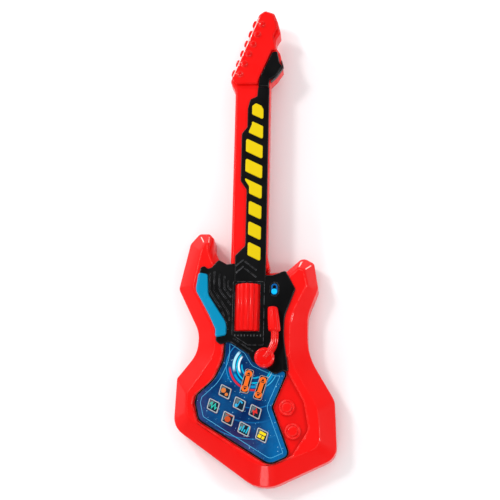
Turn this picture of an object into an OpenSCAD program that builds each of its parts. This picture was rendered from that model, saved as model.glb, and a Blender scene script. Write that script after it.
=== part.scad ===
// Toy electric guitar lying on its back: X to the right, Y along the neck, Z out of the face.

/* [Body] */
// Depth of the rear shell, from the back to the parting line
rear_depth = 24; // [22:0.5:26]
// Depth of the body at its flat face
body_depth = 44; // [43:0.5:46]
// Height of the upright wall of the front shell above the parting line
rim_rise = 5; // [3:0.5:6]
// Wall thickness of the moulded shells
wall = 2.4; // [2:0.1:2.8]
// Thickness of the flat deck of the front shell
deck_t = 3.5; // [3:0.1:3.8]
// Depth of the shallow recess round the control panel
recess_depth = 1.2; // [0.8:0.1:1.4]

/* [Neck] */
// Height of the neck's back above the back of the body
neck_back = 16; // [12:0.5:18]
// Height of the parting line of the neck
neck_split = 30; // [28:0.5:32]
// Height of the red face of the neck
neck_face = 45; // [44.5:0.5:46]
// Height of the raised face of the headstock
head_face = 50; // [49:0.5:52]
// Pitch of the fret pads along the neck
pad_pitch = 27.4; // [27:0.1:27.6]
// How far the fret pads stand above the fingerboard
pad_proud = 1.2; // [0.6:0.1:2]

/* [Face plate] */
// Thickness of the black face plate
plate_t = 2.5; // [2:0.1:3]
// Height of the ribs on the face plate
rib_h = 0.9; // [0.5:0.1:1.2]
// How far the light bar stands above the face plate
bar_proud = 2.6; // [2:0.1:4]

/* [Controls] */
// Length of a square key's side
key_size = 14; // [12:0.5:14.5]
// How far a key travels down
key_travel = 1.2; // [0.8:0.1:1.3]
// Length of a tall rocker key
rocker_len = 30; // [26:0.5:30]
// Width of a tall rocker key
rocker_w = 10.5; // [9:0.5:11]
// Radius of the strum roller over its flutes
roller_r = 18; // [17:0.1:18.2]
// Length of the strum roller
roller_len = 60; // [54:1:61]
// Number of flutes round the strum roller
flutes = 16; // [12:1:20]
// Radius of the disc of the tremolo arm
disc_r = 12.4; // [11:0.1:13]
// Radius of the slide switch's knob
knob_r = 3.7; // [3:0.1:3.8]
// Travel of the slide switch
switch_travel = 6.5; // [5:0.1:7]

/* [Batteries and speaker] */
// Diameter of one cell
cell_d = 14.2; // [13.8:0.1:14.4]
// Length of one cell
cell_l = 50.5; // [49:0.5:50.5]
// Number of cells side by side
cells = 3; // [2:1:3]
// Radius of the speaker
speaker_r = 25; // [20:1:26]

/* [Hidden] */
$fn = 48;
arc_steps = 5;
gap = 0.35;
fit = 0.06;
eps = 0.01;
overlap = 0.2;
trim_reach = 400;

red = [0.93, 0.08, 0.07];
black = [0.04, 0.04, 0.05];
blue = [0.02, 0.30, 0.55];
cyan = [0.0, 0.62, 0.80];
sky = [0.05, 0.72, 1.0];
yellow = [0.95, 0.84, 0.02];
orange = [0.95, 0.45, 0.05];
pale = [0.80, 0.82, 0.84];
steel = [0.72, 0.73, 0.75];
board_green = [0.05, 0.35, 0.18];

face_z = body_depth;
rim_z = rear_depth + rim_rise;
deck_under = face_z - deck_t;
recess_z = face_z - recess_depth;
plate_top = face_z + plate_t;
board_top = plate_top + 1;
board_under = neck_face - 2;
panel_under = recess_z - 1.2;
panel_top = recess_z + 0.8;
bezel_top = recess_z + 1.1;
key_top = panel_top + 1.8;
key_floor = 37.6;
pcb_t = 1.6;
pcb_z = 33;
board_gap = 4.2;
membrane_top = pcb_z + pcb_t + 0.8;
dome_top = key_floor - key_travel - 0.2;

roller_x = -11.2;
roller_y = -94.5;
roller_z = 37;
axle_r = 2;
axle_len = 70;
slot_y = [-125.3, -63.7];
cradle_y = [-130, -59.4];
cradle_half = 19;
cradle_floor = 14;
cradle_t = 3;
pivot = [12, -159];
pivot_shaft_r = 4;
arm_w = 9.4;
arm_ridge_w = 4.4;
arm_base = plate_top + 3.2;
arm_top = arm_base + 6.4;
disc_top = plate_top + 8.4;
spring_turns = 2.6;
spring_mean = 8.6;
spring_h = 2.6;
switch_at = [22.3, -74];
switch_slit_r = 2.6;
switch_dish_r = 6;
dish_sink = 1.2;
speaker_at = [38, -236];
clamp_h = 6;
grille_pitch = 5;
grille_r = 1.2;
box_x = [-61, -13];
box_y = [-258, -196];
box_roof = 20;
box_wall = 1.6;
box_mid_y = (box_y[0] + box_y[1]) / 2;
cell_z = wall + 0.8 + cell_d / 2;
tongue_x = box_x[0] - 10.5;
tongue_y = [-232, -222];
door_t = 2;
door_screw_at = [box_x[0] - 6, -227];
pocket_x = [-34.5, 17];
pocket_y = [-50, -40];
brace_x = [-20, 4];
brace_y = [-58.6, -4];
brace_z = [rear_depth - 4, rear_depth];
neck_screw_x = -26;
neck_roof = neck_face - 4.4;
pegs = 6;
first_peg = [-9.8, 297, 38];
peg_step = [-5.27, -14.2];
peg_lean = -21.5;
first_stud = [-0.5, 292];
stud_step = [-5.585, -14.229];
boss_r = 4;
hole_r = 1.5;
head_hole_r = 3.2;
led_hole_r = 2.7;
pin_r = 1.2;
print_edge = 0.7;

// Outer outline of the body: each corner is [x, y, radius]
body_corners = [
    [10, -321, 42], [101.5, -277.5, 20], [98.5, -208, 22], [64, -150, 80], [64, -100, 45],
    [77, -66, 10], [71.5, -33, 5], [57, -25, 9], [36, -44, 8], [16.5, -45.5, 3],
    [-33, -45, 2.5], [-38, -37, 4], [-48, -33, 6], [-57, -15, 14], [-58, 0, 5],
    [-64, 6.5, 4], [-77, 6.5, 6], [-88.5, -7, 10], [-101.3, -67, 8], [-73, -124, 40],
    [-75.5, -151, 40], [-99.5, -182, 4], [-101.5, -243, 25]];

// Edge of the flat face, corner for corner with the outer outline
ridge_corners = [
    [11, -297, 40], [83, -268, 17], [80, -219, 28], [45, -160, 60], [45, -106, 50],
    [65, -65, 8], [60.5, -44, 5], [52, -41, 5], [34, -58, 6], [12, -60, 4],
    [-28, -60, 4], [-36, -56, 4], [-46, -50, 6], [-57, -33, 12], [-62, -20, 8],
    [-62.5, -9, 3.4], [-69.5, -9, 3.4], [-74.5, -20, 10], [-84, -68, 14], [-56, -119, 30],
    [-52.5, -152, 40], [-86, -202, 8], [-85, -233, 14]];

// Neck and headstock
neck_corners = [
    [16.5, -45, 4.5], [12, -24, 30], [12, 211, 4], [20, 219, 6], [28.5, 232, 4],
    [24.5, 252, 6], [18, 262, 6], [19, 273, 5], [24.5, 282, 5], [20.5, 298, 5],
    [15.5, 311, 5], [3, 315.5, 5], [-5, 310, 5], [-41, 213, 5], [-34, 198, 10],
    [-34, -45, 4.5]];

// Raised red face of the headstock
head_corners = [
    [-5, 207, 2], [-3, 216, 6], [13, 255, 3], [18.5, 256, 3], [14.5, 275, 6], [19.5, 287, 4],
    [16.5, 299, 4], [13, 308, 4], [3, 311.5, 4], [-3.5, 306.5, 4], [-39, 214.5, 4],
    [-32, 207, 3]];

// Black accent beside the headstock's face
accent_corners = [
    [-4, 203.5, 1.5], [10.5, 203.5, 1.5], [10.5, 213, 3], [20, 219.5, 6], [28, 232, 3],
    [24, 237, 2], [20.5, 254, 2], [13.6, 253, 3], [-2.4, 215.6, 6]];

// Black fingerboard
board_corners = [
    [11, -61.5, 1.2], [11, 203, 1.2], [-4, 203, 1.2], [-5, 190, 3], [-14, 186, 5],
    [-17, 173, 8], [-17, 147, 3], [-24, 138, 5], [-24, 73, 4], [-16, 61, 4],
    [-16, -14, 4], [-28.5, -27, 4], [-28.5, -61.5, 1.2]];

// Black face plate
plate_corners = [
    [41.5, -175, 2.5], [35, -132, 120], [35.5, -106, 50], [49, -70, 5], [36, -46, 3],
    [20, -52, 6], [11.5, -52, 1.5], [-30, -37, 2], [-39, -38, 3], [-49.5, -32, 3],
    [-58, -42, 3], [-63, -44, 3], [-67, -40.5, 3], [-72.5, -41.5, 4], [-76.6, -72, 13],
    [-59.2, -103.5, 60], [-49.5, -123.5, 15], [-50.5, -137, 5], [-44, -141.5, 3], [-33, -138, 4],
    [-9, -152.5, 6], [-4, -162.5, 6], [15, -172.5, 10], [25, -178.5, 5], [35, -174, 5]];

// Blue light bar
bar_corners = [
    [-51.5, -133, 3.2], [-37, -130, 3.2], [-36.5, -115, 18], [-61, -78, 16], [-62.5, -51.5, 3.2],
    [-74.5, -49, 3.2], [-77.6, -72, 13], [-60, -103, 60], [-50.5, -123, 15]];

// Control panel, rounded at its free corners
panel_corners = [
    [20, -288, 14], [43.5, -277, 7], [21.5, -219, 7], [41, -171.5, 5], [26, -174.5, 5],
    [0, -163, 5], [-9, -148, 6], [-30, -134, 5], [-38, -134, 4.5], [-38.5, -160, 40],
    [-50, -185, 40], [-70.5, -204, 6], [-73, -214, 10], [-68, -235, 10]];

// Step of the shallow recess round the panel
step_corners = [
    [18, -291.5, 20], [48, -278, 9], [68, -246, 16], [62, -212, 24], [42, -176, 8],
    [41, -156, 3], [-40, -130, 3], [-43.5, -160, 40], [-54, -187, 40], [-76, -205, 7],
    [-78, -216, 10], [-71, -238.5, 12]];

// Centres of the seven square keys
key_at = [
    [-36.6, -200.5], [-50.6, -217.9], [-18.5, -215.4], [1.2, -224.7], [-32.1, -233.5],
    [-11.9, -246], [10, -253.3]];

// Centre and lean of the two rocker keys
rocker_at = [[-9.8, -187, -14], [7.4, -195, -17]];

// Ribs between the light bar and the middle of the plate
rib_lines = [
    [[-60, -50], [-60, -72], [-55, -81], [-44, -96], [-34.5, -123]],
    [[-54, -48], [-54, -72], [-48, -81], [-35, -101], [-33.5, -111]],
    [[-47.5, -50], [-47.5, -70], [-44, -76], [-32.5, -91]],
    [[-41, -54], [-41, -70], [-32.5, -81]],
    [[-36, -60], [-36, -68], [-32.5, -72]]];

// Lights under the bar, and the posts that carry the boards
led_at = [[-69, -62], [-69, -76], [-60.5, -90], [-53, -103], [-45.5, -117]];
panel_post_at = [[-60, -208], [-34, -171], [16, -272], [25, -190]];

// Screws that hold the neck's brace: the first two in the body, the others in the neck
foot_screw_at = [[-16, -54.5], [0, -54.5]];
tongue_screw_at = [[-16, -12], [0, -12]];

// Middle line of the tremolo arm, and the grip's middle points with their radii
arm_path = [[pivot.x, pivot.y], [20, -149], [23.6, -140], [24.4, -131], [23.6, -120]];
grip_at = [[23.7, -124.5, 7.6], [22.4, -109, 7.2], [21, -95.5, 6.2]];

// Body screws and the two round dummy knobs
screw_at = [
    [-78, -214], [-30, -265.5], [54, -271], [71, -237], [38.5, -135], [54, -58], [-67.5, -28],
    [-70, -67]];
dummy_knob_at = [[40, -219], [47.5, -248]];
neck_screw_y = [15, 100, 190];

// Key top: a square leaning to the left and downhill to the right
key_side = [0.94, -0.47];
key_edge = [-0.24, -0.95];

function unit(v) = v / norm(v);
function wrap(list, i) = list[(i + len(list)) % len(list)];

// Points of one rounded corner b between its neighbours a and c
function corner(a, b, c) = let(
        at = [b.x, b.y],
        u = unit([a.x, a.y] - at),
        v = unit([c.x, c.y] - at),
        half = acos(u * v) / 2,
        middle = at + unit(u + v) * b[2] / sin(half),
        first = at + u * b[2] / tan(half) - middle,
        last = at + v * b[2] / tan(half) - middle,
        turn = cross(first, last) > 0 ? 180 - 2 * half : 2 * half - 180,
        start = atan2(first.y, first.x))
    [for (k = [0:arc_steps])
        middle + b[2] * [cos(start + turn * k / arc_steps), sin(start + turn * k / arc_steps)]];

// Closed outline with every corner rounded
function rounded(corners) = [
    for (i = [0:len(corners) - 1])
        each corner(wrap(corners, i - 1), corners[i], wrap(corners, i + 1))];

// Counter-clockwise outline moved inwards by d
function inset(points, d) = [
    for (i = [0:len(points) - 1]) let(
        before = unit(points[i] - wrap(points, i - 1)),
        after = unit(wrap(points, i + 1) - points[i]),
        inward = [-before.y - after.y, before.x + after.x])
        points[i] + inward * 2 * d / (inward * inward)];

// Strip of width w along a polyline
function side_of(line, i, w) = let(
        before = unit(line[max(i, 1)] - line[max(i, 1) - 1]),
        after = unit(line[min(i, len(line) - 2) + 1] - line[min(i, len(line) - 2)]),
        across = [-before.y - after.y, before.x + after.x])
    line[i] + across * w / (across * across);
function ribbon(line, w) = concat(
    [for (i = [0:len(line) - 1]) side_of(line, i, w)],
    [for (i = [len(line) - 1:-1:0]) side_of(line, i, -w)]);

// Parallelogram of a key grown by g on every side
function key_outline(g) = [
    for (s = [[-1, -1], [-1, 1], [1, 1], [1, -1]])
        let(half = key_size / 2 + g)
            [key_side.x * s.x + key_edge.x * s.y, key_side.y * s.x + key_edge.y * s.y] * half];
function key_shape(g) = rounded([for (p = key_outline(g)) [p.x, p.y, 1.6 + g]]);

// Level a moved away from level b, along the line through both, by d in height
function past(a, b, d) = let(t = d / abs(a[0] - b[0]))
    [a[0] + (a[0] - b[0]) * t,
        [for (i = [0:len(a[1]) - 1]) a[1][i] + (a[1][i] - b[1][i]) * t]];

// List of levels that runs past both of its ends by d
function overrun(levels, d) = let(last = len(levels) - 1)
    concat([past(levels[0], levels[1], d)],
        [for (i = [1:1:last - 1]) levels[i]],
        [past(levels[last], levels[last - 1], d)]);

// Radius of the strum roller at an angle, and the place of a cell across the box
function flute_r(a) = roller_r - 0.9 + 0.9 * cos(a * flutes);
function cell_x(i) = (box_x[0] + box_x[1]) / 2 + (i - (cells - 1) / 2) * (cell_d + 1);

// Everything between two heights
module layer(low, high) {
    translate([-trim_reach, -trim_reach, low])
        cube([2 * trim_reach, 2 * trim_reach, high - low]);
}

// Solid through a list of [z, outline] levels with the same number of points
module loft(levels) {
    n = len(levels[0][1]);
    top = (len(levels) - 1) * n;
    intersection() {
        layer(levels[0][0], levels[len(levels) - 1][0]);
        polyhedron(
            points = [for (level = overrun(levels, overlap)) for (p = level[1]) [p.x, p.y, level[0]]],
            faces = concat(
                [[for (i = [0:n - 1]) i]],
                [[for (i = [n - 1:-1:0]) top + i]],
                [for (a = [0:n:top - 1]) for (i = [0:n - 1]) let(j = (i + 1) % n)
                    each [[a + i, a + n + i, a + j], [a + j, a + n + i, a + n + j]]]));
    }
}

// Upside-down tray: outer and inner levels from low to high, with a flat rim and a flat ceiling
module tray_loft(outer, inner, ceiling_outline) {
    n = len(outer[0][1]);
    top = (len(outer) - 1) * n;
    first = len(outer) * n;
    ceiling = first + (len(inner) - 1) * n;
    ceiling_z = inner[len(inner) - 1][0];
    levels = concat(overrun(outer, overlap), overrun(inner, overlap));
    intersection() {
        layer(outer[0][0], outer[len(outer) - 1][0]);
        polyhedron(
            points = [for (level = levels) for (p = level[1]) [p.x, p.y, level[0]]],
            faces = concat(
                [[for (i = [n - 1:-1:0]) top + i]],
                [[for (i = [0:n - 1]) ceiling + i]],
                [for (i = [0:n - 1]) let(j = (i + 1) % n)
                    each [[i, j, first + j], [i, first + j, first + i]]],
                [for (a = [0:n:top - 1]) for (i = [0:n - 1]) let(j = (i + 1) % n)
                    each [[a + i, a + n + i, a + j], [a + j, a + n + i, a + n + j]]],
                [for (a = [first:n:ceiling - 1]) for (i = [0:n - 1]) let(j = (i + 1) % n)
                    each [[a + i, a + j, a + n + i], [a + j, a + n + j, a + n + i]]]));
    }
    slab(ceiling_outline, ceiling_z, ceiling_z + 1.2);
}

// Flat slab of an outline between two heights
module slab(outline, low, high) {
    translate([0, 0, low])
        linear_extrude(high - low)
            polygon(outline);
}

module block(x, y, z) {
    translate([x[0], y[0], z[0]])
        cube([x[1] - x[0], y[1] - y[0], z[1] - z[0]]);
}

module post(at, r, low, high) {
    translate([at[0], at[1], low])
        cylinder(r = r, h = high - low);
}

// Slot with round ends along Y
module long_slot(at, r, length, low, high) {
    for (s = [0, length])
        post([at[0], at[1] + s], r, low, high);
    block([at[0] - r, at[0] + r], [at[1], at[1] + length], [low, high]);
}

// Round wire of radius r along a list of points
module wire(route, r) {
    n = len(route);
    sides = 8;
    polyhedron(
        points = [for (i = [0:n - 1]) let(
                along = unit(route[min(i + 1, n - 1)] - route[max(i - 1, 0)]),
                across = unit(cross(along, [0.2, -0.5, 0.85])),
                upward = cross(across, along))
            for (k = [0:sides - 1])
                route[i] + r * (across * cos(k * 360 / sides) + upward * sin(k * 360 / sides))],
        faces = concat(
            [[for (k = [0:sides - 1]) k]],
            [[for (k = [sides - 1:-1:0]) (n - 1) * sides + k]],
            [for (i = [0:n - 2]) for (k = [0:sides - 1]) let(t = (k + 1) % sides, a = i * sides)
                each [[a + k, a + sides + k, a + t], [a + t, a + sides + k, a + sides + t]]]));
}

module screw(at, low, length, head_r) {
    post(at, head_r, low, low + 1.8);
    post(at, 1.4, low + 1.8, low + length);
}

// Rear shell

module body_rear_shell() {
    outline = rounded(body_corners);
    color(red)
        difference() {
            union() {
                difference() {
                    loft([[0, inset(outline, 2)], [2, outline], [rear_depth, outline]]);
                    slab(inset(outline, wall), wall, rear_depth + 1);
                }
                for (at = screw_at)
                    post(at, boss_r, wall - eps, rear_depth);
                for (at = foot_screw_at)
                    post(at, boss_r, wall - eps, brace_z[0]);
                post(door_screw_at, boss_r, wall - eps, box_roof - 4);
                block([tongue_x - 1, box_x[0] - 1.7], [tongue_y[0] - 2, tongue_y[1] + 2],
                    [wall - eps, wall + 1.6]);
                difference() {
                    post(speaker_at, speaker_r + wall, wall - eps, wall + clamp_h);
                    post(speaker_at, speaker_r + 0.3, wall - 1, wall + clamp_h + 1);
                }
            }
            for (at = concat(screw_at, foot_screw_at)) {
                post(at, head_hole_r, -1, 8);
                post(at, hole_r, 7, rear_depth + 1);
            }
            block([box_x[0] - box_wall, box_x[1] + box_wall], [box_y[0] - box_wall, box_y[1] + box_wall],
                [-1, wall + 1]);
            block([tongue_x, box_x[0]], tongue_y, [-1, door_t + 0.3]);
            post(door_screw_at, hole_r + 0.1, -1, box_roof - 5);
            for (i = [-4:4]) {
                half = sqrt(pow(speaker_r - 3, 2) - pow(i * grille_pitch, 2)) - grille_r;
                long_slot([speaker_at.x + i * grille_pitch, speaker_at.y - half], grille_r, 2 * half,
                    -1, wall + 1);
            }
            block(pocket_x, pocket_y, [neck_back + 2, rear_depth + 1]);
        }
}

// Front shell of the body

module dummy_knob(at) {
    post(at, 8, recess_z - eps, recess_z + 1.2);
    translate([at.x, at.y, recess_z + 1.2 - eps])
        cylinder(r1 = 8, r2 = 7.2, h = 0.8);
    post(at, 5, recess_z, recess_z + 2.8);
}

module body_front_shell() {
    outline = rounded(body_corners);
    ridge = rounded(ridge_corners);
    panel = rounded(panel_corners);
    color(red)
        difference() {
            union() {
                difference() {
                    tray_loft(
                        [[rear_depth, outline], [rim_z, outline], [face_z - 1.4, ridge],
                            [face_z, inset(ridge, 2.2)]],
                        [[rear_depth, inset(outline, wall)], [rim_z - 1, inset(outline, wall)],
                            [deck_under, inset(ridge, 2.6)]],
                        inset(ridge, 2.2));
                    slab(rounded(step_corners), recess_z, face_z + 1);
                }
                for (at = dummy_knob_at)
                    dummy_knob(at);
                for (at = screw_at)
                    post(at, boss_r - 0.5, rear_depth, deck_under + eps);
                post(pivot, 7, deck_under - 2, deck_under + eps);
            }
            for (at = screw_at)
                post(at, hole_r, rear_depth - 1, rear_depth + 12);
            slab(inset(panel, -1.6), panel_under, face_z + 1);
            slab(inset(panel, 2.6), deck_under - 1, face_z);
            post(pivot, pivot_shaft_r + fit, deck_under - 3, face_z + 1);
            block([roller_x - cradle_half - 0.5, roller_x + cradle_half + 0.5],
                [cradle_y[0] - 1, cradle_y[1] + 0.2], [deck_under - 5, face_z + 1]);
            long_slot(switch_at, switch_slit_r, switch_travel, deck_under - 1, face_z + 1);
            slab(inset(rounded(bar_corners), 2), face_z - 2, face_z + 1);
            block(pocket_x, pocket_y, [rear_depth - 1, deck_under]);
        }
}

// Neck shells

module neck_rear_shell() {
    outline = rounded(neck_corners);
    color(red)
        difference() {
            union() {
                difference() {
                    loft([[neck_back, inset(outline, 3.4)], [neck_back + 1.2, inset(outline, 1.6)],
                        [neck_back + 5, outline], [neck_split, outline]]);
                    slab(inset(outline, 3.6), neck_back + 2.6, neck_split + 1);
                }
                for (y = neck_screw_y)
                    post([neck_screw_x, y], boss_r, neck_back + 2, neck_split);
                for (at = tongue_screw_at)
                    post(at, boss_r, neck_back + 2, brace_z[0]);
            }
            for (y = neck_screw_y) {
                post([neck_screw_x, y], head_hole_r, neck_back - 1, neck_back + 5);
                post([neck_screw_x, y], hole_r, neck_back + 4, neck_split + 1);
            }
            for (at = tongue_screw_at) {
                post(at, head_hole_r, neck_back - 1, neck_back + 1.9);
                post(at, hole_r, neck_back + 1, brace_z[0] + 1);
            }
            block([brace_x[0] - gap, brace_x[1] + gap], pocket_y, [brace_z[0] - gap, brace_z[1] + gap]);
        }
}

module neck_front_shell() {
    outline = rounded(neck_corners);
    board = rounded(board_corners);
    color(red)
        difference() {
            union() {
                difference() {
                    loft([[neck_split, outline], [neck_face - 2.6, outline],
                        [neck_face, inset(outline, 2.4)]]);
                    slab(inset(outline, 2.6), neck_split - 1, neck_roof);
                }
                for (y = neck_screw_y)
                    post([neck_screw_x, y], boss_r - 0.5, neck_split, neck_roof + eps);
                for (i = [0:pegs - 1])
                    translate([first_peg.x + i * peg_step.x, first_peg.y + i * peg_step.y, first_peg.z])
                        rotate([0, -90, peg_lean])
                            translate([0, 0, -3])
                                cylinder(r = 5, h = 6.5);
            }
            for (y = neck_screw_y)
                post([neck_screw_x, y], hole_r, neck_split - 1, neck_roof - 1.6);
            slab(inset(rounded(plate_corners), -gap), face_z - 0.1, neck_face + 1);
            slab(inset(board, -0.1), board_under, neck_face + 1);
            intersection() {
                slab(inset(board, 1.8), neck_face - 5, neck_face);
                block([-30, 20], [-36, 182], [neck_face - 6, board_under + 1]);
            }
        }
}

// Fret pads: slanted bars cut off by the edge of the fingerboard

module pad_field(g, low, high) {
    border = rounded([
        [4 + g, -40 - g, 2], [4 + g, 171, 6], [-1, 180 + g, 4], [-6, 180 + g, 3],
        [-11 - g, 176, 3], [-11 - g, 150, 6], [-18 - g, 132, 4], [-18 - g, 73.5, 3],
        [-12.6 - g, 65, 3], [-12.6 - g, -27, 4], [-3, -40 - g, 3]]);
    for (i = [0:7])
        intersection() {
            slab(border, low, high);
            slab(rounded([
                [-24 - g, -3 + i * pad_pitch + g, 2], [-24 - g, -21 + i * pad_pitch - g, 2],
                [10 + g, -38 + i * pad_pitch - g, 2], [10 + g, -20 + i * pad_pitch + g, 2]]),
                low - 1, high + 1);
        }
}

module fret_pads() {
    color(yellow) {
        intersection() {
            slab(inset(rounded(board_corners), 2.1), neck_face - 4.2, board_under);
            block([-30, 20], [-35.5, 181.5], [neck_face - 6, neck_face]);
        }
        pad_field(0, board_under - eps, board_top + pad_proud);
    }
}

module fingerboard() {
    outline = rounded(board_corners);
    color(black)
        difference() {
            union() {
                difference() {
                    loft([[board_under, outline], [board_top - 0.8, outline],
                        [board_top, inset(outline, 0.8)]]);
                    block([-40, 20], [-70, -36], [board_under - 1, face_z]);
                }
                for (y = [-41, -50]) {
                    slab(ribbon([[-26.5, y], [-17.5, y + 8.5]], 1.2), board_top - eps, board_top + rib_h);
                    slab(ribbon([[-15.5, y + 6], [-1, y - 5.5]], 1.2), board_top - eps, board_top + rib_h);
                }
            }
            pad_field(0.15, board_under - 1, board_top + 2);
        }
}

// Headstock

module headstock_cover() {
    outline = rounded(head_corners);
    color(red) {
        loft([[neck_face, outline], [head_face - 1.4, outline], [head_face, inset(outline, 1.4)]]);
        for (i = [0:pegs - 1]) {
            at = first_stud + i * stud_step;
            post(at, 4.2, head_face - eps, head_face + 1.2);
            post(at, 3, head_face, head_face + 2.4);
        }
    }
}

module headstock_accent() {
    outline = rounded(accent_corners);
    color(black)
        loft([[neck_face, outline], [head_face - 3, outline], [head_face - 1.6, inset(outline, 1)]]);
}

// Face plate

module face_plate() {
    outline = rounded(plate_corners);
    wide = roller_r - 0.9;
    narrow = roller_r - 2;
    color(black)
        difference() {
            union() {
                loft([[face_z, outline], [plate_top - 1.2, outline], [plate_top, inset(outline, 1.1)]]);
                for (line = rib_lines)
                    slab(ribbon(line, 1.4), plate_top - eps, plate_top + rib_h);
                slab(ribbon([[-31, -138.5], [-7, -154]], 1.2), plate_top - eps, plate_top + rib_h);
                slab(ribbon([[-28, -134], [-3, -150]], 1.2), plate_top - eps, plate_top + rib_h);
                slab([[-29.5, -61.7], [-29.5, -129], [-9.5, -142], [9.5, -142], [9.5, -61.7]],
                    plate_top - eps, board_top);
            }
            block([-30, 13], [-61.7, -30], [face_z - 1, board_top + 1]);
            block([roller_x - wide, roller_x + wide], slot_y, [face_z - 1, plate_top - 0.5]);
            block([roller_x - narrow, roller_x + narrow], slot_y, [face_z - 1, board_top + 1]);
            post(pivot, pivot_shaft_r + fit, face_z - 1, plate_top + 1);
            long_slot(switch_at, switch_dish_r, switch_travel, plate_top - dish_sink, plate_top + 1);
            long_slot(switch_at, switch_slit_r, switch_travel, face_z - 1, plate_top + 1);
            slab(inset(rounded(bar_corners), -0.15), face_z + 1, plate_top + 1);
            for (at = led_at)
                post(at, led_hole_r, face_z - 1, face_z + 2);
        }
}

// Light bar

module light_bar_lens() {
    outline = rounded(bar_corners);
    color(cyan)
        difference() {
            loft([[face_z + 1, outline], [plate_top + 0.6, outline],
                [plate_top + bar_proud, inset(outline, 2.2)]]);
            for (at = led_at)
                post(at, led_hole_r, face_z, face_z + 2.2);
        }
}

module light_board() {
    color(board_green)
        slab(inset(rounded(bar_corners), 2.3), face_z - 2, face_z - 0.8);
}

module light_leds() {
    color("white")
        for (at = led_at) {
            post(at, 2.3, face_z - 0.8, face_z + 0.6);
            post(at, 2, face_z + 0.6 - eps, face_z + 2);
        }
}

// Control panel

module key_hole(at, low, high) {
    translate([at.x, at.y, low])
        linear_extrude(high - low)
            polygon(key_shape(gap));
}

module rocker_prism(at, g, low, high) {
    half = [rocker_w / 2 + g, rocker_len / 2 + g];
    translate([at[0], at[1], low])
        rotate([0, 0, at[2]])
            linear_extrude(high - low)
                polygon(rounded([for (s = [[1, -1], [1, 1], [-1, 1], [-1, -1]])
                    [s.x * half.x, s.y * half.y, 2.4 + g]]));
}

module panel_bezel() {
    panel = rounded(panel_corners);
    color(black)
        difference() {
            slab(inset(panel, -1.5), panel_under, bezel_top);
            slab(inset(panel, 0.6), panel_under - 1, bezel_top + 1);
        }
}

module control_panel() {
    panel = rounded(panel_corners);
    color(blue)
        difference() {
            union() {
                slab(inset(panel, print_edge), panel_under, panel_top);
                for (at = panel_post_at)
                    post(at, 2.8, pcb_z + pcb_t, panel_under + eps);
            }
            for (at = panel_post_at)
                post(at, pin_r, pcb_z, panel_under - 1);
            for (at = key_at)
                key_hole(at, panel_under - 1, panel_top + 1);
            for (at = rocker_at)
                rocker_prism(at, 0.5, panel_under - 1, panel_top + 1);
        }
}

module square_key(i) {
    translate([key_at[i].x, key_at[i].y, 0]) {
        color(pale)
            slab(key_shape(0), key_floor + 1, key_top - 0.5);
        color(black)
            slab(key_shape(-1), key_top - 0.5 - eps, key_top);
        color(pale)
            slab(key_shape(0.9), key_floor, key_floor + 1.2);
    }
}

// Round post under or on one half of a rocker key
module rocker_foot(at, s, r, low, high) {
    translate([at[0], at[1], 0])
        rotate([0, 0, at[2]])
            post([0, s * rocker_len * 0.29], r, low, high);
}

module rocker_key(i) {
    lean = rocker_at[i];
    color(black)
        difference() {
            union() {
                rocker_prism(lean, 0, key_floor + 2.6, key_top);
                translate([lean[0], lean[1], key_floor + 2.6])
                    rotate([0, 0, lean[2]])
                        rotate([0, 90, 0])
                            cylinder(r = 1.2, h = rocker_w + 3, center = true);
            }
            rocker_prism(lean, -2.2, key_floor, key_top - 2);
        }
    color(black)
        for (s = [-1, 1])
            rocker_foot(lean, s, 2, key_floor, key_top - 1.9);
    color(orange)
        for (s = [-1, 1])
            rocker_foot(lean, s, 3.6, key_top - 0.2, key_top + 0.4);
}

module key_membrane() {
    color("dimgray")
        difference() {
            union() {
                slab(inset(rounded(panel_corners), board_gap), pcb_z + pcb_t, membrane_top);
                for (at = key_at)
                    post(at, 4, membrane_top - eps, dome_top);
                for (at = rocker_at)
                    for (s = [-1, 1])
                        rocker_foot(at, s, 3, membrane_top - eps, dome_top);
            }
            for (at = panel_post_at)
                post(at, 3.2, pcb_z, membrane_top + 1);
        }
}

// Electronics

module main_board() {
    color(board_green)
        difference() {
            slab(inset(rounded(panel_corners), board_gap), pcb_z, pcb_z + pcb_t);
            for (at = panel_post_at)
                post(at, 1.6, pcb_z - 1, pcb_z + pcb_t + 1);
        }
}

module board_parts() {
    color("black")
        post([-20, -225], 7, pcb_z - 1.6, pcb_z);
    color(steel) {
        block([-45, -37], [-190, -182], [pcb_z - 4, pcb_z]);
        block([5, 21], [-214, -208], [pcb_z - 5, pcb_z]);
    }
    color("navy")
        for (i = [0:2])
            post([-2 + i * 9, -240 - i * 4], 3, pcb_z - 8, pcb_z);
}

module board_screws() {
    color(steel)
        for (at = panel_post_at) {
            post(at, 2.6, pcb_z - 1.4, pcb_z);
            post(at, 1.1, pcb_z - eps, panel_under - 1.4);
        }
}

// Strum roller

module strum_roller() {
    color(red)
        translate([roller_x, roller_y, roller_z])
            rotate([90, 0, 0])
                difference() {
                    translate([0, 0, -roller_len / 2])
                        linear_extrude(roller_len)
                            polygon([for (k = [0:flutes * 8 - 1])
                                let(a = k * 45 / flutes) flute_r(a) * [cos(a), sin(a)]]);
                    cylinder(r = axle_r + fit, h = roller_len + 2, center = true);
                }
}

module roller_axle() {
    color(steel)
        translate([roller_x, roller_y, roller_z])
            rotate([90, 0, 0])
                cylinder(r = axle_r, h = axle_len, center = true);
}

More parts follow.
